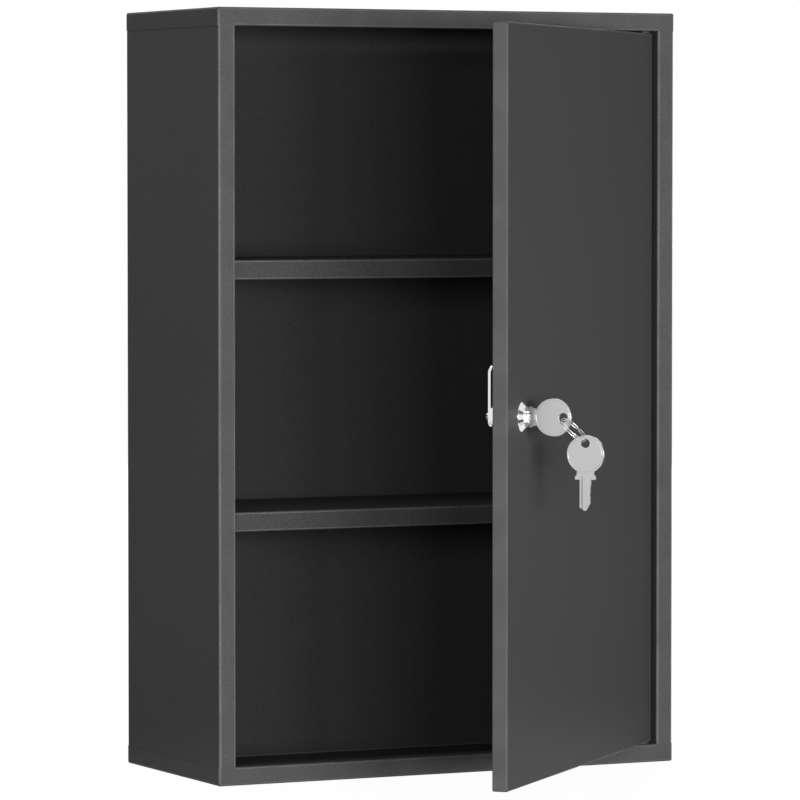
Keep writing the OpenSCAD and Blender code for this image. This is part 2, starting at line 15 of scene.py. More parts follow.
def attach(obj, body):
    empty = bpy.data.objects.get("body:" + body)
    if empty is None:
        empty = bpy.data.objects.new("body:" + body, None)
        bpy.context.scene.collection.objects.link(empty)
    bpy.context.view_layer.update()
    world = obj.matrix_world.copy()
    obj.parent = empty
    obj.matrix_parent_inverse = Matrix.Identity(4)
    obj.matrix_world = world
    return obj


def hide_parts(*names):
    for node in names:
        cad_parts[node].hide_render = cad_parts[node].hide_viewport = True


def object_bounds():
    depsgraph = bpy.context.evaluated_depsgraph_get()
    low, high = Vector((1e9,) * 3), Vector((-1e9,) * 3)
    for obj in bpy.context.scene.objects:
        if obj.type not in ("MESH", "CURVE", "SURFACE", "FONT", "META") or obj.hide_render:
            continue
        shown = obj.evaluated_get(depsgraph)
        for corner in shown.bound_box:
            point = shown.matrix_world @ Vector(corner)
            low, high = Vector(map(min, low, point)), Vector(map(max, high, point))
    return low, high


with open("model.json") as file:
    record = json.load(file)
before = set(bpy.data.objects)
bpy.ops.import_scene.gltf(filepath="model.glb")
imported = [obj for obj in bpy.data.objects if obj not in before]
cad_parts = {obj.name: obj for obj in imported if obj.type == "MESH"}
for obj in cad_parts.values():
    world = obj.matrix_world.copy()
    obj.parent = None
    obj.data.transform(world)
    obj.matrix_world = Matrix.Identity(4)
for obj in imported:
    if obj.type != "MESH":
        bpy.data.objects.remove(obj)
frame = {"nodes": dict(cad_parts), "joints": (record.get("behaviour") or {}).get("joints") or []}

bl_info = {
    "name": "Medicine cabinet",
    "version": (1, 0, 0),
    "blender": (4, 5, 0),
    "location": "3D View > Sidebar > Cabinet",
    "description": "Builds a lockable wall cabinet piece by piece round its frame",
    "category": "Object",
}

MM = 0.001
CAD_LOW, CAD_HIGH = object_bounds()
JOINTS = {joint["name"]: joint for joint in frame["joints"]}
UP = Vector((0, 0, 1))
FRONT = Vector((0, -1, 0))

TAB_GAP = 0.05 * MM         # between a side panel's tab and the cap that it stands in
REBATE_SHARE = 0.6          # share of the sheet's thickness that the seam under the top cap goes in
PIN_R = 1.8 * MM            # hinge pin's shank
PIN_HOLE_R = 1.85 * MM      # holes for it in the caps' lips and in the bushes
BUSH_WALL_R = 2.8 * MM      # hinge bush without its flange
BUSH_SEAT_R = 2.85 * MM     # hole for the bush in the door and in the angle plate
PLATE_THICK = 1.5 * MM      # door's angle plates
BARREL_HALF_FLATS = 6.2 * MM
BARREL_FIT = 0.1 * MM       # play between the barrel and the door's hole or the washer
WHOLE_TURN = 2 * math.pi


# ---- places that come from the frame ----

def frame_at(origin, x_axis, y_axis, z_axis):
    """Matrix whose columns are the three axes, placed at the origin given."""
    turn = Matrix((x_axis, y_axis, z_axis)).transposed().to_4x4()
    return Matrix.Translation(origin) @ turn


def closed_door_frame():
    """Turns a point of the closed door to where the door stands at rest."""
    joint = JOINTS["door_hinge"]
    pivot = Vector(joint["pos_m"])
    opened = math.radians(-joint["range_deg"][0])
    return Matrix.Translation(pivot) @ Matrix.Rotation(opened, 4, "Z") @ Matrix.Translation(-pivot)


def lock_frame():
    """Lock frame: z points out of the door's face, y points up, x towards the hinge."""
    joint = JOINTS["plug_turn"]
    out = Vector(joint["axis"]).normalized()
    return frame_at(Vector(joint["pos_m"]), UP.cross(out), UP, out)


def extent(node, place=Matrix.Identity(4)):
    """Lowest and highest corner of a CAD node at rest, in the axes of the place given."""
    back = place.inverted()
    points = [back @ v.co for v in frame["nodes"][node].data.vertices]
    low = Vector([min(p[i] for p in points) for i in range(3)])
    high = Vector([max(p[i] for p in points) for i in range(3)])
    return low, high


def upright_axis(node, place=Matrix.Identity(4)):
    """Where a node's upright middle line meets z = 0, in the axes of the place given."""
    low, high = extent(node, place)
    return (low.x + high.x) / 2, (low.y + high.y) / 2, 0


DOOR = closed_door_frame()
LOCK = lock_frame()


# ---- sizes and colours ----

def length(name, description, default):
    return FloatProperty(name=name, description=description, default=default,
                         min=0, precision=5, subtype="DISTANCE", unit="LENGTH")


def angle(name, description, degrees):
    return FloatProperty(name=name, description=description, default=math.radians(degrees), subtype="ANGLE")


def share(name, description, default):
    return FloatProperty(name=name, description=description, default=default, min=0, max=1)


def colour(name, description, default):
    return FloatVectorProperty(name=name, description=description, default=default,
                               min=0, max=1, subtype="COLOR")


class CabinetSizes(bpy.types.PropertyGroup):
    sheet: length("Sheet", "Thickness of the case's and the door's steel sheet", 0.8 * MM)
    bend: length("Bend", "Inner radius of the case's folds", 0.4 * MM)
    door_bend: length("Door bend", "Outer radius of the door's folds", 1 * MM)
    bend_steps: IntProperty(name="Bend steps", description="Flats round each fold",
                            default=4, min=1, max=12)
    lip: length("Frame lip", "Depth of the frame's lip behind its face", 12 * MM)
    door_lip: length("Door lip", "Width of the lip turned in behind the door's edges", 14 * MM)
    shelf_hem: length("Shelf hem", "Depth of the hem turned back under a shelf's rim", 8 * MM)
    hole_dx: length("Hole spacing, sideways", "Distance between the wall holes, side to side", 240 * MM)
    hole_dz: length("Hole spacing, upright", "Distance between the wall holes, top to bottom", 380 * MM)
    hole_d: length("Wall hole", "Diameter of each wall hole", 7 * MM)
    cup_d: length("Wall cup", "Outer diameter of the pressed cup round each wall hole", 24 * MM)
    cup_rim: length("Cup rim", "Width of the flat ring round each cup", 2 * MM)
    seam: length("Seam", "Width of the open seam under the top cap, at the sides", 0.4 * MM)
    clearance: length("Clearance", "Gap left between sheets that are welded edge to edge", 0.02 * MM)
    # Painted light: how much lighter the frame's front faces are drawn than the rest of the same sheet.
    frame_front_light: share("Frame coat", "How much thicker and lighter the frame's coat is", 0.25)
    # Painted light: how much lighter the door's free edge is drawn than the rest of the door.
    door_edge_light: share("Door edge coat", "How much thicker the coat on the door's free edge is", 0.75)
    edge: length("Cut edge", "Softening of the sheet's cut edges", 0.12 * MM)


class LockSizes(bpy.types.PropertyGroup):
    bezel_edge: length("Bezel edge", "Height of the bezel's upright edge", 0.8 * MM)
    bezel_ring: length("Bezel ring", "Width of the flat ring on the bezel's face", 0.7 * MM)
    barrel_d: length("Barrel", "Diameter of the threaded barrel", 14 * MM)
    thread_depth: length("Thread depth", "Depth of the barrel's thread", 0.35 * MM)
    thread_pitch: length("Thread pitch", "Distance from one turn of the thread to the next", 1 * MM)
    thread_start: length("Thread start", "Plain length of the barrel behind the bezel", 1.6 * MM)
    bore_d: length("Bore", "Diameter of the bore that the plug turns in", 10.1 * MM)
    journal_d: length("Journal bore", "Diameter of the barrel's rear bore", 8.7 * MM)
    journal_len: length("Journal", "Length of the barrel's rear bore", 2 * MM)
    stop_rim: length("Stop rim", "Height of the stop rim on the barrel's rear end", 1.2 * MM)
    stop_start: angle("Stop start", "Angle where the stop rim starts", 55.65)
    stop_end: angle("Stop end", "Angle where the stop rim ends", 214.35)
    cam_t: length("Cam thickness", "Thickness of the cam lever", 1.5 * MM)
    cam_tip: length("Cam tip", "Length of the cam lever's bent tip", 3.4 * MM)
    cam_corner: length("Cam corner", "Corner radius of the cam lever's ends", 2 * MM)
    cam_root: length("Cam root", "Distance from the axis to the bend of the cam's tail", 4.4 * MM)
    square: length("Square", "Width of the square hole in the cam", 6 * MM)
    screw_d: length("Screw", "Diameter of the cam screw's shank", 3.9 * MM)
    screw_dome: length("Screw head", "Height of the cam screw's domed head", 2.6 * MM)
    recess_w: length("Recess width", "Width of the cross recess in the screw's head", 0.9 * MM)
    recess_depth: length("Recess depth", "Depth of the cross recess", 1 * MM)


class KeySizes(bpy.types.PropertyGroup):
    spare_twist: angle("Spare key's twist", "How far the hanging key is twisted on its own line", 5)
    bow_off: length("Bow offset", "Distance from the shoulder to the bow's middle", 14.4 * MM)
    hole_d: length("Bow hole", "Diameter of the hole in the bow", 5 * MM)
    hole_off: length("Hole offset", "Distance from the bow's middle out to its hole", 6.2 * MM)
    neck_w: length("Neck", "Width of the neck", 9.9 * MM)
    shoulder_w: length("Shoulder", "Width of the shoulder", 11.9 * MM)
    shoulder_len: length("Shoulder length", "Length of the shoulder", 2.6 * MM)
    shoulder_edge: length("Shoulder edge", "Length of the shoulder's straight edges", 1.8 * MM)
    blade_w: length("Blade", "Width of the blade", 6.5 * MM)
    cut_depth: length("Cut depth", "Depth of the blade's usual cuts", 0.55 * MM)
    groove_w: length("Groove", "Width of the sloped groove along the blade", 0.55 * MM)
    groove_depth: length("Groove depth", "Depth of the groove along the blade", 0.55 * MM)
    groove_edge: length("Groove edge", "Distance from the straight edge in to the groove", 1.1 * MM)
    coin: length("Coined step", "Step from the bow's face down to the neck and the blade", 0.12 * MM)
    coin_rim: length("Coined rim", "Width of the bevel round the bow", 0.4 * MM)
    coin_line: length("Coined line", "Distance of the line round the bow from the bow's edge", 1.2 * MM)
    line_depth: length("Line depth", "Depth of the line round the bow", 0.08 * MM)
    ring_wire: length("Ring wire", "Diameter of the split ring's wire", 0.58 * MM)
    ring_pitch: length("Ring pitch", "Distance between the split ring's two turns", 1.3 * MM)


class Finishes(bpy.types.PropertyGroup):
    case_paint: colour("Case paint", "Powder coat of the case", (0.098, 0.098, 0.099))
    # A darker copy of the case paint for the back panel: painted shade inside the case.
    back_paint_shaded: colour("Inner paint", "Thinner powder coat of the back panel", (0.073, 0.073, 0.074))
    door_paint: colour("Door paint", "Powder coat of the door", (0.09, 0.09, 0.091))
    zinc: colour("Zinc", "Zinc plate of the nut, washers and hinge pieces", (0.62, 0.63, 0.65))
    nylon: colour("Nylon", "Black nylon of the hinge bushes", (0.02, 0.02, 0.021))
    chrome: colour("Chrome", "Bright plate of the lock and ring", (0.78, 0.78, 0.8))
    brass: colour("Brass", "Stamped brass of the wafers", (0.72, 0.55, 0.26))
    nickel: colour("Nickel", "Satin plate of the keys", (0.5, 0.5, 0.5))
    background: colour("Background", "Colour of the backdrop and the floor", (1, 1, 1))


# ---- outlines ----

def arc(centre, radius, start, end, steps):
    """Points on an arc, from one angle to the other."""
    angles = [start + (end - start) * i / steps for i in range(steps + 1)]
    return [Vector((centre[0] + radius * math.cos(a), centre[1] + radius * math.sin(a))) for a in angles]


def folded(path, thick, bend, steps):
    """Two lines of points for a bent sheet: the path itself with rounded bends, and the sheet's other side.

    The sheet lies on the left of the path. The inner radius of each bend is bend.
    """
    path = [Vector(p) for p in path]
    near, far = [], []
    for i, corner in enumerate(path):
        before = (corner - path[i - 1]).normalized() if i else None
        after = (path[i + 1] - corner).normalized() if i + 1 < len(path) else None
        u, v = before or after, after or before
        left_u, left_v = Vector((-u.y, u.x)), Vector((-v.y, v.x))
        turn = math.atan2(u.x * v.y - u.y * v.x, u.dot(v))
        if abs(turn) < 1e-6:
            near.append(corner)
            far.append(corner + left_u * thick)
            continue
        side = math.copysign(1, turn)
        near_r = bend + thick if side > 0 else bend
        far_r = bend if side > 0 else bend + thick
        centre = corner + (left_u + left_v) * side * near_r / (1 + left_u.dot(left_v))
        start = math.atan2(-side * left_u.y, -side * left_u.x)
        near += arc(centre, near_r, start, start + turn, steps)
        far += arc(centre, far_r, start, start + turn, steps)
    return near, far


def rounded_corner(centre, radius, quarter, steps=6):
    """One quarter of a circle; quarter 0 starts at the +x side."""
    start = quarter * math.pi / 2
    return arc(centre, radius, start, start + math.pi / 2, steps)


def flat_ring(hole, outer, low, high, soft):
    """Section of a flat ring whose outer corners are cut off by soft."""
    return [(hole, low), (outer - soft, low), (outer, low + soft), (outer, high - soft), (outer - soft, high),
            (hole, high)]


def with_flats(points, flat):
    """The points, none of them further than flat from the upright middle line."""
    return [Vector((max(-flat, min(flat, p.x)), p.y)) for p in points]


# ---- solids in mesh code ----

# Each of these three puts a point (u, v) of an outline into space, w along the axis that it is named after.

def along_x(u, v, w):
    return Vector((w, u, v))


def along_y(u, v, w):
    return Vector((u, w, v))


def along_z(u, v, w):
    return Vector((u, v, w))


def strip(bm, lines, place, low, high):
    """A bent sheet whose two lines of points are drawn out from low to high."""
    near, far = lines
    rows = [[bm.verts.new(place(p.x, p.y, w)) for p in line] for w in (low, high) for line in (near, far)]
    near_low, far_low, near_high, far_high = rows
    for i in range(len(near) - 1):
        bm.faces.new((near_low[i], near_low[i + 1], near_high[i + 1], near_high[i]))
        bm.faces.new((far_low[i + 1], far_low[i], far_high[i], far_high[i + 1]))
        bm.faces.new((near_low[i + 1], near_low[i], far_low[i], far_low[i + 1]))
        bm.faces.new((near_high[i], near_high[i + 1], far_high[i + 1], far_high[i]))
    for i in (0, -1):
        bm.faces.new((near_low[i], near_high[i], far_high[i], far_low[i]))


def bent(sizes, path, place, low, high):
    """A new mesh of the case's steel sheet, bent along the path and drawn out from low to high."""
    bm = bmesh.new()
    strip(bm, folded(path, sizes.sheet, sizes.bend, sizes.bend_steps), place, low, high)
    return bm


def prism(bm, outline, place, low, high):
    """A closed outline drawn out from low to high."""
    ends = [[bm.verts.new(place(p[0], p[1], w)) for p in outline] for w in (low, high)]
    bm.faces.new(ends[0])
    bm.faces.new(ends[1])
    count = len(outline)
    for i in range(count):
        j = (i + 1) % count
        bm.faces.new((ends[0][i], ends[0][j], ends[1][j], ends[1][i]))


def block(bm, low, high):
    """A box given by its lowest and highest corners."""
    outline = [(low[0], low[1]), (high[0], low[1]), (high[0], high[1]), (low[0], high[1])]
    prism(bm, outline, along_z, low[2], high[2])


def skin(bm, rings, closed=True):
    """Faces between each ring of points and the next, and from the last back to the first if closed."""
    others = rings[1:] + rings[:1] if closed else rings[1:]
    for ring, following in zip(rings, others):
        for i in range(len(ring)):
            j = (i + 1) % len(ring)
            bm.faces.new((ring[i], ring[j], following[j], following[i]))


def lathe(bm, outline, steps=64, centre=(0, 0, 0), place=along_z, start=0, sweep=WHOLE_TURN):
    """A closed outline of (radius, height) points turned round an axis."""
    whole = abs(sweep - WHOLE_TURN) < 1e-6
    columns = steps if whole else steps + 1
    centre = Vector(centre)
    rings = []
    for r, z in outline:
        if r < 1e-7:
            rings.append([bm.verts.new(centre + place(0, 0, z))] * columns)
            continue
        angles = [start + sweep * i / steps for i in range(columns)]
        rings.append([bm.verts.new(centre + place(r * math.cos(a), r * math.sin(a), z)) for a in angles])
    for ring, following in zip(rings, rings[1:] + rings[:1]):
        for i in range(steps):
            j = (i + 1) % columns
            corners = []
            for vert in (ring[i], ring[j], following[j], following[i]):
                if vert not in corners:
                    corners.append(vert)
            if len(corners) > 2:
                bm.faces.new(corners)
    if not whole:
        bm.faces.new([ring[0] for ring in rings])
        bm.faces.new([ring[-1] for ring in rings])


def turned(*values, **more):
    """A new mesh with one shape from the lathe in it."""
    bm = bmesh.new()
    lathe(bm, *values, **more)
    return bm


def drill(radius, low, high, centre, steps=32, place=along_z):
    """A round rod from low to high, to cut a hole with."""
    return turned([(0, low), (radius, low), (radius, high), (0, high)], steps, centre, place)


def tray(bm, low, high, open_sides, radius, thick, steps, lip=0):
    """A hollow box of bent sheet, rounded along its folds; a lip is turned in round each open side."""
    part = bmesh.new()
    block(part, low, high)
    bmesh.ops.recalc_face_normals(part, faces=part.faces)
    for axis, sign in open_sides:
        face = next(f for f in part.faces if f.normal[axis] * sign > 0.9)
        if lip:
            bmesh.ops.inset_region(part, faces=[face], thickness=lip, use_even_offset=True)
            face = next(f for f in part.faces if f.normal[axis] * sign > 0.9 and len(
                [e for e in f.edges if all(g.normal[axis] * sign > 0.9 for g in e.link_faces)]) == 4)
        bmesh.ops.delete(part, geom=[face], context="FACES_ONLY")
    folds = [e for e in part.edges if len(e.link_faces) == 2 and e.calc_face_angle() > 1]
    bmesh.ops.bevel(part, geom=folds, offset=radius, segments=steps, profile=0.5, affect="EDGES",
                    clamp_overlap=True)
    loose = [e for e in part.edges if not e.link_faces]
    bmesh.ops.delete(part, geom=loose, context="EDGES")
    bmesh.ops.recalc_face_normals(part, faces=part.faces)
    bmesh.ops.solidify(part, geom=part.faces[:], thickness=thick)
    add(bm, part)


def add(bm, part):
    """Moves a part's mesh into the mesh given."""
    mesh = bpy.data.meshes.new("part")
    part.to_mesh(mesh)
    part.free()
    bm.from_mesh(mesh)
    bpy.data.meshes.remove(mesh)


def new_mesh(bm):
    """A new mesh from a bmesh, with its faces turned outwards."""
    bmesh.ops.recalc_face_normals(bm, faces=bm.faces)
    mesh = bpy.data.meshes.new("shape")
    bm.to_mesh(mesh)
    bm.free()
    return mesh


def combined(bm, tools, operation="DIFFERENCE"):
    """The mesh cut by, joined to or kept inside each tool mesh in turn."""
    body = bpy.data.objects.new("body", new_mesh(bm))
    bpy.context.scene.collection.objects.link(body)
    helpers = []
    for tool in tools:
        helper = bpy.data.objects.new("tool", new_mesh(tool))
        bpy.context.scene.collection.objects.link(helper)
        helpers.append(helper)
        change = body.modifiers.new("change", "BOOLEAN")
        change.operation = operation
        change.solver = "EXACT"
        change.object = helper
    bpy.context.view_layer.update()
    graph = bpy.context.evaluated_depsgraph_get()
    result = bmesh.new()
    result.from_object(body, graph)
    for item in [body, *helpers]:
        mesh = item.data
        bpy.data.objects.remove(item)
        bpy.data.meshes.remove(mesh)
    if not result.faces:
        raise RuntimeError("a cut left nothing of the piece")
    return result


def mirrored(bm):
    """Adds the mesh's copy on the other side of the YZ plane."""
    made = bmesh.ops.duplicate(bm, geom=bm.verts[:] + bm.edges[:] + bm.faces[:])
    copies = [item for item in made["geom"] if isinstance(item, bmesh.types.BMVert)]
    bmesh.ops.scale(bm, vec=(-1, 1, 1), verts=copies)


def mark_folds(bm, towards, tone):
    """Marks where light and shade are painted: 1, a painted highlight, on the outer side of upright folds, less
    on level ones, -1, painted shade, on the inner side of folds, and the tone given, painted light, on the
    faces that look towards the direction given."""
    bmesh.ops.recalc_face_normals(bm, faces=bm.faces)
    layer = bm.faces.layers.float.new("fold")
    low, high = math.radians(5), math.radians(35)
    for face in bm.faces:
        longest = max(edge.calc_length() for edge in face.edges)
        if face.normal.dot(towards) > 0.99:
            face[layer] = tone
        if face.calc_area() > 0.85 * MM * longest or longest < 3 * MM:
            continue
        turns = [edge.calc_face_angle_signed(0) for edge in face.edges
                 if len(edge.link_faces) == 2 and edge.calc_length() > longest / 2]
        turns = [turn for turn in turns if low < abs(turn) < high]
        if turns:
            face[layer] = math.copysign(1 - abs(face.normal.z), sum(turns))


def piece(name, bm, body, nodes, slot, place=Matrix.Identity(4), look=None, soften=0, sharp=35, steps=2,
          towards=Vector((0, 0, 0)), tone=0):
    """Makes the object that stands for the nodes: its mesh, softened edges and body, with the finish that
    is named after the slot, or else the look given."""
    bm.transform(place)
    bmesh.ops.remove_doubles(bm, verts=bm.verts, dist=1e-7)
    mark_folds(bm, towards, tone)
    mesh = new_mesh(bm)
    mesh.name = name
    for face in mesh.polygons:
        face.use_smooth = True
    mesh.set_sharp_from_angle(angle=math.radians(sharp))
    made = bpy.data.objects.new(name, mesh)
    bpy.context.scene.collection.objects.link(made)
    made.data.materials.append(finish(look or slot))
    if soften:
        bevel = made.modifiers.new("soften", "BEVEL")
        bevel.width = soften
        bevel.segments = steps
        bevel.limit_method = "ANGLE"
        bevel.angle_limit = math.radians(sharp)
        bevel.use_clamp_overlap = True
    weighted = made.modifiers.new("normals", "WEIGHTED_NORMAL")
    weighted.keep_sharp = True
    weighted.weight = 100
    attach(made, body)
    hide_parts(*nodes)


# ---- finishes ----

def shader_group(name, inputs, outputs):
    """A new shader node group with its sockets; returns it with its first and last node."""
    group = bpy.data.node_groups.new(name, "ShaderNodeTree")
    for label, kind, default in inputs:
        socket = group.interface.new_socket(name=label, in_out="INPUT", socket_type=kind)
        socket.default_value = default
    for label, kind in outputs:
        group.interface.new_socket(name=label, in_out="OUTPUT", socket_type=kind)
    return group, group.nodes.new("NodeGroupInput"), group.nodes.new("NodeGroupOutput")


def wire(tree, value, socket):
    """Feeds a socket from another socket, or sets it to a plain value."""
    if isinstance(value, bpy.types.NodeSocket):
        tree.links.new(value, socket)
    else:
        socket.default_value = value


def vector_node(tree, operation, *values, kind="ShaderNodeVectorMath"):
    """A node that works on the values with the operation named."""
    node = tree.nodes.new(kind)
    node.operation = operation
    for value, socket in zip(values, node.inputs):
        wire(tree, value, socket)
    return node


def math_node(tree, operation, *values):
    return vector_node(tree, operation, *values, kind="ShaderNodeMath").outputs[0]


def product(tree, first, second):
    return math_node(tree, "MULTIPLY", first, second)


def parts_of(tree, vector):
    """The node that gives a vector's X, Y and Z."""
    node = tree.nodes.new("ShaderNodeSeparateXYZ")
    wire(tree, vector, node.inputs[0])
    return node


def scaled_colour(tree, colour_value, factor):
    node = vector_node(tree, "SCALE", colour_value)
    wire(tree, factor, node.inputs["Scale"])
    return node.outputs["Vector"]


def object_place(tree, stretch=None):
    """Coordinates that stay with the object, in metres, stretched along its axes if asked."""
    place = tree.nodes.new("ShaderNodeTexCoord").outputs["Object"]
    if stretch is None:
        return place
    return vector_node(tree, "MULTIPLY", place, stretch).outputs["Vector"]


def noise(tree, place, scale, detail=2.0, roughness=0.5):
    node = tree.nodes.new("ShaderNodeTexNoise")
    wire(tree, place, node.inputs["Vector"])
    wire(tree, scale, node.inputs["Scale"])
    node.inputs["Detail"].default_value = detail
    node.inputs["Roughness"].default_value = roughness
    return node.outputs["Fac"]


def swing(tree, value, amount):
    """1 plus the amount times how far a noise stands from its middle."""
    centred = math_node(tree, "SUBTRACT", value, 0.5)
    spread = product(tree, centred, amount)
    return math_node(tree, "MULTIPLY_ADD", spread, 2.0, 1.0)


def powder_coat_group():
    """Fine speckled grain, orange peel and broad unevenness of a sprayed and baked powder coat, and painted
    light: highlights along the outer side of folds and on marked faces, shade along the inner side of folds.
    """
    tree, start, end = shader_group(
        "powder_coat",
        [("Colour", "NodeSocketColor", (0.1, 0.1, 0.1, 1)), ("Speckle", "NodeSocketFloat", 0.2),
         ("Grain Size", "NodeSocketFloat", 0.5 * MM), ("Peel Size", "NodeSocketFloat", 1.6 * MM),
         ("Unevenness", "NodeSocketFloat", 0.05), ("Roughness", "NodeSocketFloat", 0.5),
         ("Fold", "NodeSocketFloat", 0.0), ("Painted Light", "NodeSocketFloat", 0.5)],
        [("Colour", "NodeSocketColor"), ("Roughness", "NodeSocketFloat"), ("Height", "NodeSocketFloat")])
    place = object_place(tree)
    grain = noise(tree, place, math_node(tree, "DIVIDE", 1.0, start.outputs["Grain Size"]), 1.0)
    peel = noise(tree, place, math_node(tree, "DIVIDE", 1.0, start.outputs["Peel Size"]), 2.0)
    broad = noise(tree, place, 9.0, 2.0)
    speckled = product(tree, swing(tree, grain, start.outputs["Speckle"]),
                         swing(tree, broad, start.outputs["Unevenness"]))
    # Painted light: the fold mark lightens the outer side of folds and the marked faces as a painted highlight,
    # and darkens the inner side of folds as painted shade, unevenly along them.
    patchy = product(tree, start.outputs["Fold"], swing(tree, noise(tree, place, 60.0), 0.6))
    fold_light_factor = math_node(tree, "MULTIPLY_ADD", patchy, start.outputs["Painted Light"], 1.0)
    tone = product(tree, speckled, fold_light_factor)
    wire(tree, scaled_colour(tree, start.outputs["Colour"], tone), end.inputs["Colour"])
    uneven = product(tree, start.outputs["Roughness"], swing(tree, peel, 0.12))
    wire(tree, uneven, end.inputs["Roughness"])
    wire(tree, math_node(tree, "MULTIPLY_ADD", grain, 0.4, peel), end.inputs["Height"])
    return tree


def plated_group():
    """Rub marks and a fine drawn grain in plated metal."""
    tree, start, end = shader_group(
        "plated_metal",
        [("Colour", "NodeSocketColor", (0.7, 0.7, 0.7, 1)), ("Roughness", "NodeSocketFloat", 0.2),
         ("Rub", "NodeSocketFloat", 0.2), ("Grain", "NodeSocketFloat", 0.1),
         ("Stretch", "NodeSocketVector", (1, 1, 1)), ("Grain Size", "NodeSocketFloat", 0.3 * MM)],
        [("Colour", "NodeSocketColor"), ("Roughness", "NodeSocketFloat"), ("Height", "NodeSocketFloat")])
    drawn = noise(tree, object_place(tree, start.outputs["Stretch"]),
                  math_node(tree, "DIVIDE", 1.0, start.outputs["Grain Size"]), 2.0)
    rubbed = noise(tree, object_place(tree), 240.0, 3.0, 0.6)
    grained = swing(tree, drawn, start.outputs["Grain"])
    wire(tree, scaled_colour(tree, start.outputs["Colour"], grained), end.inputs["Colour"])
    uneven = product(tree, grained, swing(tree, rubbed, start.outputs["Rub"]))
    wire(tree, product(tree, start.outputs["Roughness"], uneven), end.inputs["Roughness"])
    wire(tree, drawn, end.inputs["Height"])
    return tree


EFFECTS = {"powder_coat": powder_coat_group, "plated_metal": plated_group}


def finish_from(name, effect, values, bump, shader_values):
    """A new material: its colour, roughness and fine relief come from a shared effect."""
    material = bpy.data.materials.new(name)
    material.use_nodes = True
    tree = material.node_tree
    shader = tree.nodes["Principled BSDF"]
    source = tree.nodes.new("ShaderNodeGroup")
    source.node_tree = bpy.data.node_groups.get(effect) or EFFECTS[effect]()
    for label, value in values.items():
        source.inputs[label].default_value = value
    if "Fold" in source.inputs:
        fold = tree.nodes.new("ShaderNodeAttribute")
        fold.attribute_name = "fold"
        wire(tree, fold.outputs["Fac"], source.inputs["Fold"])
    wire(tree, source.outputs["Colour"], shader.inputs["Base Color"])
    wire(tree, source.outputs["Roughness"], shader.inputs["Roughness"])
    relief = tree.nodes.new("ShaderNodeBump")
    relief.inputs["Strength"].default_value = 1
    relief.inputs["Distance"].default_value = bump
    wire(tree, source.outputs["Height"], relief.inputs["Height"])
    wire(tree, relief.outputs["Normal"], shader.inputs["Normal"])
    for label, value in shader_values.items():
        shader.inputs[label].default_value = value
    return material


# For each finish: the colour it takes, the shared effect, the height of its fine relief, the effect's own
# values and the shader's plain ones.
PAINTED = {"Specular IOR Level": 0.02}
METAL = {"Metallic": 1}
# The first value sets how strongly the painted highlights and painted shade at folds and on marked faces show.
CASE_COAT = {"Painted Light": 1.1, "Grain Size": 0.7 * MM, "Peel Size": 1.8 * MM, "Unevenness": 0.05,
             "Roughness": 0.42}
FINISHES = {
    "case_paint": ("case_paint", "powder_coat", 0.03 * MM, {**CASE_COAT, "Speckle": 0.5}, PAINTED),
    # The back panel's finish is the case's coat made darker: painted shade.
    "back_paint_shaded": ("back_paint_shaded", "powder_coat", 0.03 * MM, {**CASE_COAT, "Speckle": 0.3}, PAINTED),
    # In the door's values, the first one sets the strength of its painted highlights and painted shade at folds
    # and on its free edge.
    "door_paint": ("door_paint", "powder_coat", 0.015 * MM,
                   {"Painted Light": 0.7, "Speckle": 0.08, "Grain Size": 0.5 * MM, "Peel Size": 2.2 * MM,
                    "Unevenness": 0.03, "Roughness": 0.4}, PAINTED),
    "nylon": ("nylon", "powder_coat", 0.004 * MM,
              {"Speckle": 0.03, "Grain Size": 0.3 * MM, "Peel Size": 0.8 * MM, "Unevenness": 0.03,
               "Roughness": 0.55}, {"Subsurface Weight": 0.1}),
    "zinc_steel": ("zinc", "plated_metal", 0.004 * MM,
                   {"Roughness": 0.32, "Rub": 0.3, "Grain": 0.1, "Grain Size": 0.4 * MM}, METAL),
    "lock_chrome": ("chrome", "plated_metal", 0.0006 * MM,
                    {"Roughness": 0.07, "Rub": 0.5, "Grain": 0.02, "Grain Size": 0.6 * MM}, METAL),
    "wafer_brass": ("brass", "plated_metal", 0.003 * MM,
                    {"Roughness": 0.3, "Rub": 0.4, "Grain": 0.08, "Grain Size": 0.3 * MM}, METAL),
    "key_nickel": ("nickel", "plated_metal", 0.002 * MM,
                   {"Roughness": 0.24, "Rub": 0.2, "Grain": 0.05, "Stretch": (1, 1, 0.06),
                    "Grain Size": 0.25 * MM}, METAL),
}


def finish(name):
    """The material of one finish, made the first time that it is asked for."""
    hue, effect, relief, values, shader_values = FINISHES[name]
    paint = getattr(bpy.context.scene.cabinet_finishes, hue)
    made_name = name + "_finish"
    return bpy.data.materials.get(made_name) or finish_from(
        made_name, effect, {"Colour": (*paint, 1), **values}, relief, shader_values)


# ---- the case ----

def case_box():
    """Half width, half height and front of the case, and the edges of its opening."""
    low, high = extent("top_cap")
    lip_x = extent("left_side_panel")[1].x
    return {"half_w": high.x, "half_h": high.z, "front": low.y, "open_x": -lip_x, "open_z": low.z}


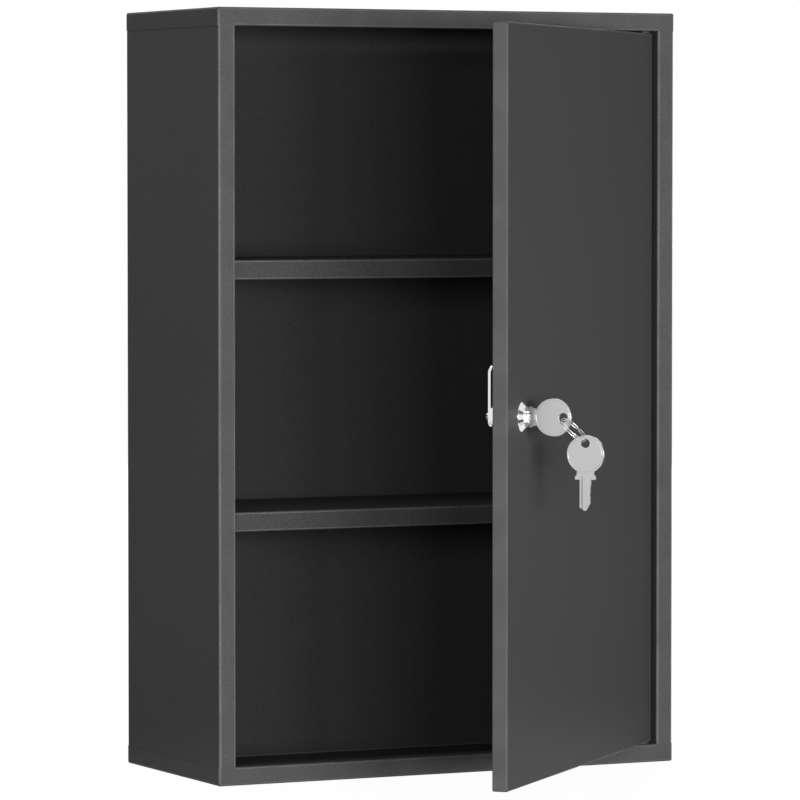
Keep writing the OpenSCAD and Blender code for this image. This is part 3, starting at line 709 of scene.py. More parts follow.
class CABINET_OT_side_panels(bpy.types.Operator):
    """Two side panels: rear flange, side, frame strip and lip in one bent sheet, with tabs into the caps"""
    bl_idname = "cabinet.side_panels"
    bl_label = "Side panels"
    bl_options = {"UNDO"}

    def execute(self, context):
        sizes = context.scene.cabinet_sizes
        case = case_box()
        front, open_x, open_z = case["front"], case["open_x"], case["open_z"]
        low, high = extent("left_side_panel")
        path = [(-open_x, high.y), (low.x, high.y), (low.x, front), (-open_x, front),
                (-open_x, front + sizes.lip)]
        rebate_y = front + sizes.sheet + sizes.bend
        tab_x = -case["half_w"] + sizes.sheet + TAB_GAP
        for side, name in ((-1, "left_side"), (1, "right_side")):
            bm = bent(sizes, path, along_z, -open_z, open_z)
            rebate = bmesh.new()
            block(rebate, (low.x - MM, rebate_y, open_z - sizes.seam),
                  (low.x + REBATE_SHARE * sizes.sheet, MM, open_z + MM))
            bm = combined(bm, [rebate])
            for end in (-1, 1):
                tab_z = sorted((end * (open_z - 2 * sizes.sheet), end * high.z))
                block(bm, (tab_x, front + sizes.sheet + TAB_GAP, tab_z[0]),
                      (tab_x + sizes.sheet, -sizes.sheet - TAB_GAP, tab_z[1]))
            if side > 0:
                bmesh.ops.scale(bm, vec=(-1, 1, 1), verts=bm.verts)
            # The frame's front faces get painted light.
            piece(name, bm, "cabinet", [name + "_panel"], "case_paint", towards=FRONT, tone=sizes.frame_front_light)
        return {"FINISHED"}


class CABINET_OT_caps(bpy.types.Operator):
    """Top and bottom cap: bent trays with the frame's upper and lower strips and lips"""
    bl_idname = "cabinet.caps"
    bl_label = "Caps"
    bl_options = {"UNDO"}

    def execute(self, context):
        sizes = context.scene.cabinet_sizes
        case = case_box()
        front, open_x, open_z, half_h = (case[k] for k in ("front", "open_x", "open_z", "half_h"))
        path = [(0, open_z), (0, half_h), (front, half_h), (front, open_z), (front + sizes.lip, open_z)]
        pin_x, pin_y, _ = upright_axis("upper_hinge_pin")
        for sign, name in ((1, "top_cap"), (-1, "bottom_cap")):
            bm = bent(sizes, path, along_x, sizes.clearance - open_x, open_x - sizes.clearance)
            bm = combined(bm, [drill(PIN_HOLE_R, -MM, 2 * MM, (pin_x, pin_y, open_z))])
            ends = bmesh.new()
            tray(ends, (-case["half_w"], front, open_z), (-open_x, 0, half_h), [(2, -1), (0, 1)],
                 sizes.bend + sizes.sheet, sizes.sheet, sizes.bend_steps)
            mirrored(ends)
            add(bm, ends)
            if sign < 0:
                bmesh.ops.scale(bm, vec=(1, 1, -1), verts=bm.verts)
            # The caps' front faces get painted light.
            piece(name + "_tray", bm, "cabinet", [name], "case_paint", towards=FRONT, tone=sizes.frame_front_light)
        return {"FINISHED"}


class CABINET_OT_back_panel(bpy.types.Operator):
    """Recessed back panel with flanges and four pressed cups round the wall holes"""
    bl_idname = "cabinet.back_panel"
    bl_label = "Back panel"
    bl_options = {"UNDO"}

    def execute(self, context):
        sizes = context.scene.cabinet_sizes
        low, high = extent("back_panel")
        face = low.y + sizes.sheet
        bm = bmesh.new()
        tray(bm, low, (high.x, -sizes.sheet, high.z), [(1, 1)], sizes.bend + sizes.sheet, sizes.sheet,
             sizes.bend_steps)
        cup_r = sizes.cup_d / 2
        rim_r = cup_r + sizes.cup_rim
        path = [(rim_r, face), (cup_r, face), (cup_r, 0), (sizes.hole_d / 2, 0)]
        near, far = folded(path, sizes.sheet, sizes.bend, sizes.bend_steps)
        places = [(x, 0, z) for x in (-sizes.hole_dx / 2, sizes.hole_dx / 2)
                  for z in (-sizes.hole_dz / 2, sizes.hole_dz / 2)]
        bm = combined(bm, [drill(rim_r + sizes.clearance, low.y - MM, face + MM, place, 64, along_y)
                           for place in places])
        cups = bmesh.new()
        for place in places:
            lathe(cups, near + far[::-1], 64, place, along_y)
        add(bm, cups)
        # The back panel takes the darker paint: painted shade inside the case.
        piece("back_sheet", bm, "cabinet", ["back_panel"], "case_paint", look="back_paint_shaded")
        return {"FINISHED"}


class CABINET_OT_shelves(bpy.types.Operator):
    """Two bent shelves, each with a front rim, a hem and a rear rim"""
    bl_idname = "cabinet.shelves"
    bl_label = "Shelves"
    bl_options = {"UNDO"}

    def execute(self, context):
        sizes = context.scene.cabinet_sizes
        for name in ("upper_shelf", "lower_shelf"):
            low, high = extent(name)
            path = [(high.y, low.z), (high.y, high.z), (low.y, high.z), (low.y, low.z),
                    (low.y + sizes.shelf_hem, low.z)]
            bm = bent(sizes, path, along_x, low.x, high.x)
            piece(name + "_sheet", bm, "cabinet", [name], "case_paint")
        return {"FINISHED"}


class CABINET_OT_ledges(bpy.types.Operator):
    """Pairs of angle ledges that carry the shelves at their ends"""
    bl_idname = "cabinet.ledges"
    bl_label = "Shelf ledges"
    bl_options = {"UNDO"}

    def execute(self, context):
        sizes = context.scene.cabinet_sizes
        for name in ("upper_shelf_ledges", "lower_shelf_ledges"):
            low, high = extent(name)
            reach = high.z - low.z
            path = [(low.x + reach, high.z), (low.x, high.z), (low.x, low.z)]
            bm = bent(sizes, path, along_y, low.y, high.y)
            mirrored(bm)
            piece(name.replace("ledges", "angles"), bm, "cabinet", [name], "case_paint", soften=sizes.edge)
        return {"FINISHED"}


# ---- the door and its hinges ----

class CABINET_OT_door(bpy.types.Operator):
    """Door of bent sheet: a shallow tray whose lips are turned in behind its four edges"""
    bl_idname = "cabinet.door"
    bl_label = "Door"
    bl_options = {"UNDO"}

    def execute(self, context):
        sizes = context.scene.cabinet_sizes
        lock = context.scene.cabinet_lock
        low, high = extent("door_panel", DOOR)
        bm = bmesh.new()
        tray(bm, low, high, [(1, 1)], sizes.door_bend, sizes.sheet, sizes.bend_steps, sizes.door_lip)
        lock_x, _, lock_z = DOOR.inverted() @ Vector(JOINTS["plug_turn"]["pos_m"])
        hole = bmesh.new()
        reach = extent("lock_body", LOCK)[1].z
        circle = arc((0, 0), lock.barrel_d / 2 + BARREL_FIT, 0, WHOLE_TURN, 96)[:-1]
        outline = with_flats(circle, BARREL_HALF_FLATS + BARREL_FIT)
        prism(hole, [(lock_x + p.x, lock_z + p.y) for p in outline], along_y, low.y - reach, low.y + reach)
        seats = drill(BUSH_SEAT_R, low.z - MM, high.z + MM, upright_axis("upper_hinge_bush", DOOR))
        bm = combined(bm, [hole, seats])
        piece("door_sheet", bm, "door", ["door_panel"], "door_paint", DOOR,
              # The door's free edge gets painted light.
              towards=DOOR.to_3x3() @ Vector((-1, 0, 0)), tone=sizes.door_edge_light)
        return {"FINISHED"}


class CABINET_OT_hinges(bpy.types.Operator):
    """Hinge pins with rivet heads, flanged bushes and the angle plates in the door's corners"""
    bl_idname = "cabinet.hinges"
    bl_label = "Hinges"
    bl_options = {"UNDO"}

    def execute(self, context):
        sizes = context.scene.cabinet_sizes
        for sign, where in ((1, "upper"), (-1, "lower")):
            self.pin(sizes, sign, where)
            self.bush(sign, where)
            self.plate(sizes, sign, where)
        return {"FINISHED"}

    def upright(self, bm, sign):
        if sign < 0:
            bmesh.ops.scale(bm, vec=(1, 1, -1), verts=bm.verts)
        return bm

    def pin(self, sizes, sign, where):
        low, high = extent("upper_hinge_pin")
        head_r = (high.x - low.x) / 2
        seat = case_box()["open_z"] + sizes.sheet
        nose, soft = 0.4 * MM, 0.15 * MM
        crown = seat + 2 * soft
        outline = [(0, low.z), (PIN_R - nose, low.z), (PIN_R, low.z + nose), (PIN_R, seat),
                   (head_r - soft, seat), (head_r, seat + soft)]
        outline += [(head_r * p.x, crown + (high.z - crown) * p.y) for p in arc((0, 0), 1, 0, math.pi / 2, 8)]
        bm = turned(outline, 40, upright_axis("upper_hinge_pin"))
        piece(where + "_pin", self.upright(bm, sign), "cabinet", [where + "_hinge_pin"], "zinc_steel")

    def bush(self, sign, where):
        low, high = extent("upper_hinge_bush", DOOR)
        flange_r = (high.x - low.x) / 2
        under = extent("door_panel", DOOR)[1].z
        soft = 0.15 * MM
        outline = [(PIN_HOLE_R + soft, low.z), (BUSH_WALL_R - soft, low.z), (BUSH_WALL_R, low.z + soft),
                   (BUSH_WALL_R, under), (flange_r - soft, under), (flange_r, under + soft),
                   (flange_r, high.z - soft), (flange_r - soft, high.z), (PIN_HOLE_R + soft, high.z),
                   (PIN_HOLE_R, high.z - soft), (PIN_HOLE_R, low.z + soft)]
        bm = turned(outline, 40, upright_axis("upper_hinge_bush", DOOR))
        piece(where + "_bush", self.upright(bm, sign), "door", [where + "_hinge_bush"], "nylon", DOOR)

    def plate(self, sizes, sign, where):
        low, high = extent("upper_hinge_plate", DOOR)
        leg_end = extent("upper_hinge_bush", DOOR)[0].x - PLATE_THICK
        path = [(high.y, high.z), (low.y, high.z), (low.y, low.z)]
        bm, top = bmesh.new(), bmesh.new()
        strip(bm, folded(path, PLATE_THICK, sizes.bend, sizes.bend_steps), along_x, low.x, leg_end)
        block(top, (leg_end - PLATE_THICK, low.y, high.z - PLATE_THICK), high)
        bm = combined(bm, [top], "UNION")
        bm = combined(bm, [drill(BUSH_SEAT_R, high.z - 2 * PLATE_THICK, high.z + PLATE_THICK,
                                 upright_axis("upper_hinge_bush", DOOR))])
        piece(where + "_plate", self.upright(bm, sign), "door", [where + "_hinge_plate"], "zinc_steel", DOOR,
              soften=sizes.edge)


# ---- the lock ----

def threaded_barrel(bm, lock, low, high):
    """Barrel with a screw thread, two flats and a stepped bore, from z = low to z = high."""
    columns, rows_per_pitch = 72, 6
    pitch, flat = lock.thread_pitch, BARREL_HALF_FLATS
    rows = int((high - low) / pitch * rows_per_pitch)
    outer = []
    for z in (high + (low - high) * i / rows for i in range(rows + 1)):
        room = max(min((high - lock.thread_start - z) / pitch, (z - low) / pitch, 1), 0)
        ring = []
        for i in range(columns):
            wave = (z / pitch + i / columns) % 1
            r = lock.barrel_d / 2 - room * lock.thread_depth * (1 - abs(2 * wave - 1))
            angle = WHOLE_TURN * i / columns
            x = max(-flat, min(flat, r * math.cos(angle)))
            ring.append(bm.verts.new((x, r * math.sin(angle), z)))
        outer.append(ring)
    bore = [(lock.bore_d / 2, high), (lock.bore_d / 2, low + lock.journal_len),
            (lock.journal_d / 2, low + lock.journal_len), (lock.journal_d / 2, low)]
    angles = [WHOLE_TURN * i / columns for i in range(columns)]
    inner = [[bm.verts.new((r * math.cos(a), r * math.sin(a), z)) for a in angles] for r, z in bore]
    skin(bm, outer + inner[::-1])


class CABINET_OT_lock_body(bpy.types.Operator):
    """Lock body with its coned bezel, threaded barrel and stop rim, and the washer and nut behind the door"""
    bl_idname = "cabinet.lock_body"
    bl_label = "Lock body"
    bl_options = {"UNDO"}

    def execute(self, context):
        lock = context.scene.cabinet_lock
        low, high = extent("lock_body", LOCK)
        bezel_r, bore_r = high.x, lock.bore_d / 2
        soft = 0.2 * MM
        outline = [(bore_r, 0), (bezel_r, 0)]
        outline += arc((bezel_r - soft, lock.bezel_edge - soft), soft, 0, math.pi / 3, 4)
        flat_r = bore_r + lock.bezel_ring + soft / 2
        outline += arc((flat_r, high.z - soft), soft, math.pi / 3, math.pi / 2, 3)
        outline += [(bore_r + soft / 2, high.z), (bore_r, high.z - soft / 2)]
        bm = turned(outline, 96)
        barrel_end = low.z + lock.stop_rim
        threaded_barrel(bm, lock, barrel_end, 0)
        rim = arc((0, 0), lock.barrel_d / 2, lock.stop_start, lock.stop_end, 32)
        rim = with_flats(rim, BARREL_HALF_FLATS)
        rim += arc((0, 0), lock.journal_d / 2, lock.stop_end, lock.stop_start, 32)
        prism(bm, rim, along_z, low.z, barrel_end)
        piece("lock_case", bm, "door", ["lock_body"], "lock_chrome", LOCK, sharp=28)
        self.washer(lock)
        self.nut(lock)
        return {"FINISHED"}

    def washer(self, lock):
        low, high = extent("lock_washer", LOCK)
        bm = turned(flat_ring(lock.barrel_d / 2 + BARREL_FIT, high.x, low.z, high.z, 0.12 * MM), 72)
        piece("lock_ring_washer", bm, "door", ["lock_washer"], "zinc_steel", LOCK)

    def nut(self, lock):
        low, high = extent("lock_nut", LOCK)
        half_flats, hole, columns = high.y, (lock.barrel_d + BARREL_FIT) / 2, 96
        face_r = 0.97 * half_flats
        bm = bmesh.new()
        rings = [[] for _ in range(6)]
        for i in range(columns):
            angle = WHOLE_TURN * i / columns
            corner = (angle + math.pi / 6 + math.pi / 2) % (math.pi / 3) - math.pi / 6
            side_r = half_flats / math.cos(corner)
            cut = (side_r - face_r) * math.tan(math.pi / 6)
            places = [(hole, low.z), (face_r, low.z), (side_r, low.z + cut), (side_r, high.z - cut),
                      (face_r, high.z), (hole, high.z)]
            for ring, (r, z) in zip(rings, places):
                ring.append(bm.verts.new((r * math.cos(angle), r * math.sin(angle), z)))
        skin(bm, rings)
        piece("barrel_nut", bm, "door", ["lock_nut"], "zinc_steel", LOCK, sharp=25)


class CABINET_OT_plug(bpy.types.Operator):
    """Finishes of the turning plug and the wafers in it, whose shapes are the frame's own"""
    bl_idname = "cabinet.plug"
    bl_label = "Lock plug"
    bl_options = {"UNDO"}

    def execute(self, context):
        for node, slot in (("lock_plug", "lock_chrome"), ("lock_wafers", "wafer_brass")):
            carried = frame["nodes"][node]
            carried.data.materials.clear()
            carried.data.materials.append(finish(slot))
        return {"FINISHED"}


class CABINET_OT_cam(bpy.types.Operator):
    """Cam lever with both ends bent towards the door, its split washer and its domed screw"""
    bl_idname = "cabinet.cam"
    bl_label = "Cam lever"
    bl_options = {"UNDO"}

    def execute(self, context):
        lock = context.scene.cabinet_lock
        self.lever(lock)
        self.split_washer(lock)
        self.screw(lock)
        return {"FINISHED"}

    def lever(self, lock):
        low, high = extent("cam_lever", LOCK)
        back, front = low.z, low.z + lock.cam_t
        bent_to = back + high.z - front
        path = [(low.y, bent_to), (-lock.cam_root, back), (high.y - lock.cam_tip, back), (high.y, bent_to)]
        bm, plan, square = bmesh.new(), bmesh.new(), bmesh.new()
        strip(bm, folded(path, lock.cam_t, 0.8 * MM, 5), along_x, low.x, high.x)
        r = lock.cam_corner
        left, right, bottom, top = low.x + r, high.x - r, low.y + r, high.y - r
        corners = [(right, top), (left, top), (left, bottom), (right, bottom)]
        outline = [point for quarter, corner in enumerate(corners)
                   for point in rounded_corner(corner, r, quarter)]
        prism(plan, outline, along_z, back - MM, high.z + MM)
        bm = combined(bm, [plan], "INTERSECT")
        half = lock.square / 2
        block(square, (-half, -half, back - MM), (half, half, front + MM))
        bm = combined(bm, [square])
        piece("cam_arm", bm, "plug", ["cam_lever"], "lock_chrome", LOCK, soften=0.25 * MM, sharp=40, steps=3)

    def split_washer(self, lock):
        low, high = extent("spring_washer", LOCK)
        half_gap = math.radians(7)
        bm = turned(flat_ring(lock.screw_d / 2 + 0.1 * MM, high.x, low.z, high.z, 0.08 * MM), 48,
                    start=half_gap, sweep=WHOLE_TURN - 2 * half_gap)
        piece("split_washer", bm, "plug", ["spring_washer"], "zinc_steel", LOCK)

    def screw(self, lock):
        low, high = extent("cam_screw", LOCK)
        head_r, seat, soft = high.x, low.z + lock.screw_dome, 0.15 * MM
        shank_r = lock.screw_d / 2
        dome_r = (head_r ** 2 + lock.screw_dome ** 2) / (2 * lock.screw_dome)
        centre = low.z + dome_r
        edge = math.asin(min(1, head_r / dome_r))
        dome = [(dome_r * math.sin(edge * i / 12), centre - dome_r * math.cos(edge * i / 12))
                for i in range(12)]
        outline = dome + [(head_r, seat - soft), (head_r - soft, seat), (shank_r, seat),
                          (shank_r, high.z - soft), (shank_r - soft, high.z), (0, high.z)]
        bm = turned(outline, 48)
        tools = []
        for turn in (0, math.pi / 2):
            tool = bmesh.new()
            arm = 0.55 * head_r
            foot, bottom = 0.45 * arm, low.z + lock.recess_depth
            taper = [(-arm, low.z - MM), (arm, low.z - MM), (arm, low.z), (foot, bottom), (-foot, bottom),
                     (-arm, low.z)]
            prism(tool, taper, along_y, -lock.recess_w / 2, lock.recess_w / 2)
            bmesh.ops.rotate(tool, verts=tool.verts, cent=(0, 0, 0), matrix=Matrix.Rotation(turn, 3, "Z"))
            tools.append(tool)
        bm = combined(bm, tools)
        piece("dome_screw", bm, "plug", ["cam_screw"], "lock_chrome", LOCK, sharp=30)


# ---- the keys and their ring ----

KEY_CUTS = [(0.14, 0), (0.3, 1), (0.38, 0.5), (0.48, 1.4), (0.58, 0.5), (0.66, 1), (0.76, 0.5)]


def key_shape(keys, blade_len, bow_r, thick):
    """A key in its own frame: x through its thickness, y across it, z along it, shoulder face at z = 0."""
    half, side = keys.blade_w / 2, thick / 2
    plain = side - keys.coin
    blade = [(-half, keys.shoulder_len / 2)]
    blade += [(keys.cut_depth * depth - half, -blade_len * along) for along, depth in KEY_CUTS]
    blade += [(-keys.cut_depth, -blade_len), (keys.cut_depth, -blade_len), (half, -0.9 * blade_len),
              (half, keys.shoulder_len / 2)]
    wide, neck, edge = keys.shoulder_w / 2, keys.neck_w / 2, keys.shoulder_edge
    collar = [(-wide, 0), (wide, 0), (wide, edge), (neck, keys.shoulder_len), (neck, keys.bow_off),
              (-neck, keys.bow_off), (-neck, keys.shoulder_len), (-wide, edge)]
    bm, handle = bmesh.new(), bmesh.new()
    prism(bm, blade, along_x, -plain, plain)
    prism(handle, collar, along_x, -plain, plain)
    line_r, deep = bow_r - keys.coin_line, keys.line_depth
    flat_r, slope_r = bow_r - keys.coin_rim, bow_r - keys.coin
    coined = [(0, side), (line_r - deep, side), (line_r, side - deep), (line_r + deep, side),
              (flat_r - deep, side), (flat_r, side), (slope_r, side - keys.coin_rim / 2),
              (bow_r, side - keys.coin_rim)]
    bow = turned([(r, -z) for r, z in coined] + coined[::-1], 96, (0, 0, keys.bow_off), along_x)
    bm = combined(bm, [handle, bow], "UNION")
    hole_r, soft = keys.hole_d / 2, 0.15 * MM
    mouth_r = hole_r + MM + soft
    bored = [(0, -side - MM), (mouth_r, -side - MM), (hole_r, -side + soft), (hole_r, side - soft),
             (mouth_r, side + MM), (0, side + MM)]
    tools = [turned(bored, 64, (0, 0, keys.bow_off + keys.hole_off), along_x)]
    # The groove has an upright wall and a slope; the tool goes on along the slope to 1.4 times the groove.
    over = 1.4
    wall, above = half - keys.groove_edge, plain + (over - 1) * keys.groove_depth
    for face in (-1, 1):
        groove = bmesh.new()
        corners = [(face * (plain - keys.groove_depth), wall), (face * above, wall),
                   (face * above, wall - over * keys.groove_w)]
        prism(groove, corners, along_z, -blade_len - MM, keys.shoulder_edge)
        tools.append(groove)
    return combined(bm, tools)


class CABINET_OT_keys(bpy.types.Operator):
    """Two stamped keys with coined round bows: one in the lock, one hanging from the ring"""
    bl_idname = "cabinet.keys"
    bl_label = "Keys"
    bl_options = {"UNDO"}

    def execute(self, context):
        keys = context.scene.cabinet_keys
        low, high = extent("key", LOCK)
        bow_r, thick = high.y, high.x - low.x
        seat = high.z - bow_r - keys.bow_off
        blade_len = seat - low.z
        bm = key_shape(keys, blade_len, bow_r, thick)
        bmesh.ops.translate(bm, verts=bm.verts, vec=(0, 0, seat))
        piece("lock_key", bm, "key", ["key"], "key_nickel", LOCK, soften=0.08 * MM)
        low, high = extent("spare_key", LOCK)
        bm = key_shape(keys, blade_len, bow_r, thick)
        hang = Matrix.Translation((0, low.y + blade_len, (low.z + high.z) / 2))
        upright = Matrix.Rotation(-math.pi / 2, 4, "X")
        bm.transform(hang @ upright @ Matrix.Rotation(keys.spare_twist, 4, "Z"))
        piece("hanging_key", bm, "spare_key", ["spare_key"], "key_nickel", LOCK, soften=0.08 * MM)
        return {"FINISHED"}


class CABINET_OT_key_ring(bpy.types.Operator):
    """Split ring: one wire wound twice, with its cut ends and the step where the turns cross"""
    bl_idname = "cabinet.key_ring"
    bl_label = "Key ring"
    bl_options = {"UNDO"}

    def execute(self, context):
        keys = context.scene.cabinet_keys
        near = Vector(JOINTS["ring_swing"]["pos_m"])
        far = Vector(JOINTS["spare_key_swing"]["pos_m"])
        centre = (near + far) / 2
        across = (far - near).normalized()
        sideways = Vector(JOINTS["ring_swing"]["axis"]).normalized()
        axis = sideways.cross(across)
        ring_r = (far - near).length / 2
        wire_r = keys.ring_wire / 2
        steps, ribs = 168, 14
        step_at, step_len = math.pi / 2, math.radians(26)
        cut = math.radians(4)
        bm = bmesh.new()
        rings = []
        for i in range(steps + 1):
            angle = step_at + cut + (2 * WHOLE_TURN - 2 * cut) * i / steps
            past = (angle - step_at - WHOLE_TURN) / step_len
            blend = min(1, max(0, past + 0.5))
            blend = blend * blend * (3 - 2 * blend)
            outward = across * math.cos(angle) + sideways * math.sin(angle)
            middle = centre + outward * ring_r + axis * keys.ring_pitch * (blend - 0.5)
            rings.append([bm.verts.new(middle + (outward * math.cos(a) + axis * math.sin(a)) * wire_r)
                          for a in (WHOLE_TURN * k / ribs for k in range(ribs))])
        skin(bm, rings, closed=False)
        bm.faces.new(rings[0])
        bm.faces.new(rings[-1])
        piece("split_ring", bm, "ring", ["key_ring"], "lock_chrome", sharp=50)
        return {"FINISHED"}


# ---- the stage ----

AIM = (0, -0.1, 0)
# Each lamp's name, place, aim, width, height and power.
LAMPS = [
    ("front_lamp", (0, -3.1, 0.1), AIM, 0.8, 0.6, 32),
    ("front_right_lamp", (0.65, -3.05, 0.1), AIM, 0.8, 0.6, 11),
    ("front_left_lamp", (-0.8, -3.0, 0.1), AIM, 0.6, 0.6, 16),
    ("left_lamp", (-1.55, -2.7, 0.38), AIM, 0.6, 0.6, 11),
    ("side_lamp", (-1.8, -0.25, 0.15), AIM, 0.7, 0.7, 5.6),
    ("top_lamp", (-0.6, -0.8, 2.0), AIM, 1.0, 1.0, 2.4),
    ("top_rear_lamp", (0.2, 0.9, 2.2), (0, 0, 0), 1.0, 1.0, 12),
    ("rear_lamp", (0, 3.0, 0.6), AIM, 1.0, 1.0, 18),
    ("right_rear_lamp", (1.8, 2.55, 0.4), AIM, 1.0, 1.0, 38),
]
CAMERA_PLACE = Vector((-1.39665, -2.92100, 0.13428))
CAMERA_YAW, CAMERA_PITCH = math.radians(26.0867), math.radians(2.5458)
CAMERA_LENS, CAMERA_SENSOR = 232.978, 36
FLOOR_REACH = 40
FLOOR_GAP = 0.2 * MM        # between the object and the floor under it
FLOOR_TONE = 0.22           # share of the background's colour in the floor's own colour


def lamp(name, place, aim, width, height, power):
    """A soft rectangular lamp that shines from its place towards its aim."""
    data = bpy.data.lights.new(name, "AREA")
    data.shape = "RECTANGLE"
    data.size = width
    data.size_y = height
    data.energy = power
    made = bpy.data.objects.new(name, data)
    made.location = place
    made.rotation_mode = "QUATERNION"
    made.rotation_quaternion = (Vector(aim) - Vector(place)).to_track_quat("-Z", "Y")
    bpy.context.scene.collection.objects.link(made)


def ramp(tree, value, low, high, start=0.0, end=1.0):
    """A smooth step of the value, from start at low to end at high."""
    node = tree.nodes.new("ShaderNodeMapRange")
    node.interpolation_type = "SMOOTHSTEP"
    for label, number in (("From Min", low), ("From Max", high), ("To Min", start), ("To Max", end)):
        node.inputs[label].default_value = number
    wire(tree, value, node.inputs["Value"])
    return node.outputs["Result"]


def world_light(background):
    """White for the camera. Reflections see a white studio whose rear is dark low down, with two dark bands
    at the right, one above and one below the lock's level. The object gets its light from the lamps alone."""
    world = bpy.data.worlds.new("studio")
    world.use_nodes = True
    tree = world.node_tree
    shown = tree.nodes["Background"]
    shown.inputs["Strength"].default_value = 1
    away = parts_of(tree, tree.nodes.new("ShaderNodeTexCoord").outputs["Generated"])
    level = math_node(tree, "ABSOLUTE", away.outputs["Z"])
    # The ramps' limits are parts of a direction one long: its X, its Y, or its Z without the sign.
    rear_dark, band_dark = 0.93, 0.8
    rear = product(tree, ramp(tree, away.outputs["Y"], -0.15, 0.1),
                     ramp(tree, level, 0.2, 0.32, rear_dark, 0))
    band = product(tree, ramp(tree, level, 0.18, 0.24), ramp(tree, level, 0.44, 0.5, 1, 0))
    band = product(tree, band, ramp(tree, away.outputs["X"], 0.35, 0.5, 0, band_dark))
    mirrored_light = math_node(tree, "SUBTRACT", 1.0, math_node(tree, "MAXIMUM", rear, band))
    path = tree.nodes.new("ShaderNodeLightPath")
    mirrored_light = product(tree, mirrored_light, path.outputs["Is Glossy Ray"])
    shine = math_node(tree, "MAXIMUM", path.outputs["Is Camera Ray"], mirrored_light)
    wire(tree, scaled_colour(tree, background, shine), shown.inputs["Color"])
    bpy.context.scene.world = world


def floor_finish(background):
    """Pale floor: the camera and reflections see the background's white, a little less of it near the object,
    where the lamps' light fills it up again outside the object's shadow."""
    material = bpy.data.materials.new("floor_white")
    material.use_nodes = True
    material.cycles.emission_sampling = "NONE"
    tree = material.node_tree
    shader = tree.nodes["Principled BSDF"]
    place = object_place(tree)
    tone = swing(tree, noise(tree, place, 40.0, 3.0), 0.01)
    own_colour = [FLOOR_TONE * c for c in background]
    wire(tree, scaled_colour(tree, own_colour, tone), shader.inputs["Base Color"])
    shader.inputs["Roughness"].default_value = 0.9
    shader.inputs["Specular IOR Level"].default_value = 0
    shader.inputs["Emission Color"].default_value = (*background, 1)
    # The ramps' limits are metres on the floor, from the object's middle or from the point below the lock.
    lock_x, lock_y, _ = JOINTS["plug_turn"]["pos_m"]
    distance = vector_node(tree, "LENGTH", place).outputs["Value"]
    from_lock = vector_node(tree, "DISTANCE", place, (lock_x, lock_y, 0)).outputs["Value"]
    path = tree.nodes.new("ShaderNodeLightPath")
    seen = product(tree, path.outputs["Is Camera Ray"],
                     ramp(tree, distance, 0.3, 1.0, 0.95, 1.0))
    lit = product(tree, ramp(tree, parts_of(tree, place).outputs["Y"], -0.1, 0.1, 1.0, 0.3),
                    ramp(tree, from_lock, 0.15, 0.25, 0.1, 1.0))
    ring = product(tree, ramp(tree, from_lock, 0.42, 0.52),
                     ramp(tree, from_lock, 0.85, 1.0, 0.97, 0))
    mirrored_light = product(tree, lit, math_node(tree, "SUBTRACT", 1.0, ring))
    mirrored_light = product(tree, mirrored_light, path.outputs["Is Glossy Ray"])
    wire(tree, math_node(tree, "MAXIMUM", seen, mirrored_light), shader.inputs["Emission Strength"])
    return material


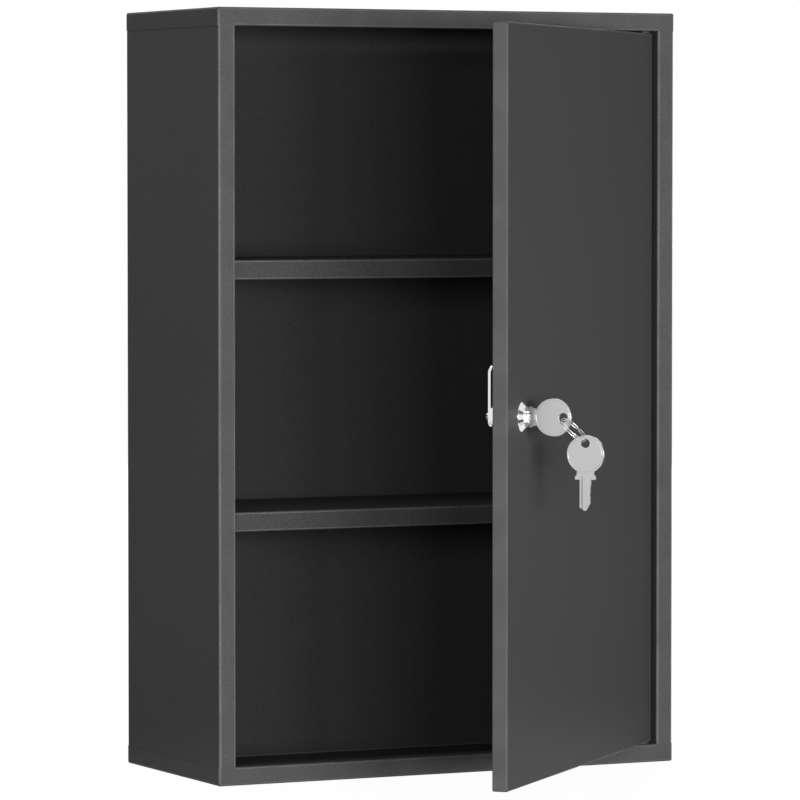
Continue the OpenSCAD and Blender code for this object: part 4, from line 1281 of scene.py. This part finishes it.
class CABINET_OT_stage(bpy.types.Operator):
    """Pale floor, white surroundings, soft lamps and the camera"""
    bl_idname = "cabinet.stage"
    bl_label = "Stage"
    bl_options = {"UNDO"}

    def execute(self, context):
        background = context.scene.cabinet_finishes.background
        bm = bmesh.new()
        bmesh.ops.create_grid(bm, x_segments=8, y_segments=8, size=FLOOR_REACH)
        bmesh.ops.translate(bm, verts=bm.verts, vec=(0, 0, CAD_LOW.z - FLOOR_GAP))
        floor = bpy.data.objects.new("floor", new_mesh(bm))
        floor.data.materials.append(floor_finish(background))
        context.scene.collection.objects.link(floor)
        world_light(background)
        for values in LAMPS:
            lamp(*values)
        self.camera(context.scene)
        context.scene.view_settings.view_transform = "Standard"
        return {"FINISHED"}

    def camera(self, scene):
        forward = Vector((math.sin(CAMERA_YAW) * math.cos(CAMERA_PITCH),
                          math.cos(CAMERA_YAW) * math.cos(CAMERA_PITCH), -math.sin(CAMERA_PITCH)))
        data = bpy.data.cameras.new("camera")
        data.lens = CAMERA_LENS
        data.sensor_width = CAMERA_SENSOR
        data.clip_start = 0.01
        data.clip_end = 200
        made = bpy.data.objects.new("camera", data)
        made.location = CAMERA_PLACE
        made.rotation_mode = "QUATERNION"
        made.rotation_quaternion = forward.to_track_quat("-Z", "Y")
        scene.collection.objects.link(made)
        scene.camera = made


class CABINET_PT_sidebar(bpy.types.Panel):
    """Lists the cabinet's sizes, finishes and pieces"""
    bl_idname = "CABINET_PT_sidebar"
    bl_label = "Medicine cabinet"
    bl_space_type = "VIEW_3D"
    bl_region_type = "UI"
    bl_category = "Cabinet"

    def draw(self, context):
        for group in SETTINGS:
            box = self.layout.box()
            settings = getattr(context.scene, group)
            for name in settings.__annotations__:
                box.prop(settings, name)
        for operator in OPERATORS:
            self.layout.operator(operator.bl_idname)


SETTINGS = {"cabinet_sizes": CabinetSizes, "cabinet_lock": LockSizes, "cabinet_keys": KeySizes,
            "cabinet_finishes": Finishes}
OPERATORS = [
    CABINET_OT_side_panels, CABINET_OT_caps, CABINET_OT_back_panel, CABINET_OT_shelves, CABINET_OT_ledges,
    CABINET_OT_door, CABINET_OT_hinges, CABINET_OT_lock_body, CABINET_OT_plug, CABINET_OT_cam,
    CABINET_OT_keys, CABINET_OT_key_ring, CABINET_OT_stage,
]


def register():
    for item in [*SETTINGS.values(), *OPERATORS, CABINET_PT_sidebar]:
        bpy.utils.register_class(item)
    for name, group in SETTINGS.items():
        setattr(bpy.types.Scene, name, PointerProperty(type=group))


def unregister():
    for name in SETTINGS:
        delattr(bpy.types.Scene, name)
    for item in [CABINET_PT_sidebar, *reversed(OPERATORS), *reversed(SETTINGS.values())]:
        bpy.utils.unregister_class(item)


def main():
    register()
    bpy.ops.cabinet.stage()
    bpy.ops.cabinet.side_panels()
    bpy.ops.cabinet.caps()
    bpy.ops.cabinet.back_panel()
    bpy.ops.cabinet.shelves()
    bpy.ops.cabinet.ledges()
    bpy.ops.cabinet.door()
    bpy.ops.cabinet.hinges()
    bpy.ops.cabinet.lock_body()
    bpy.ops.cabinet.plug()
    bpy.ops.cabinet.cam()
    bpy.ops.cabinet.keys()
    bpy.ops.cabinet.key_ring()


if __name__ == "__main__":
    main()
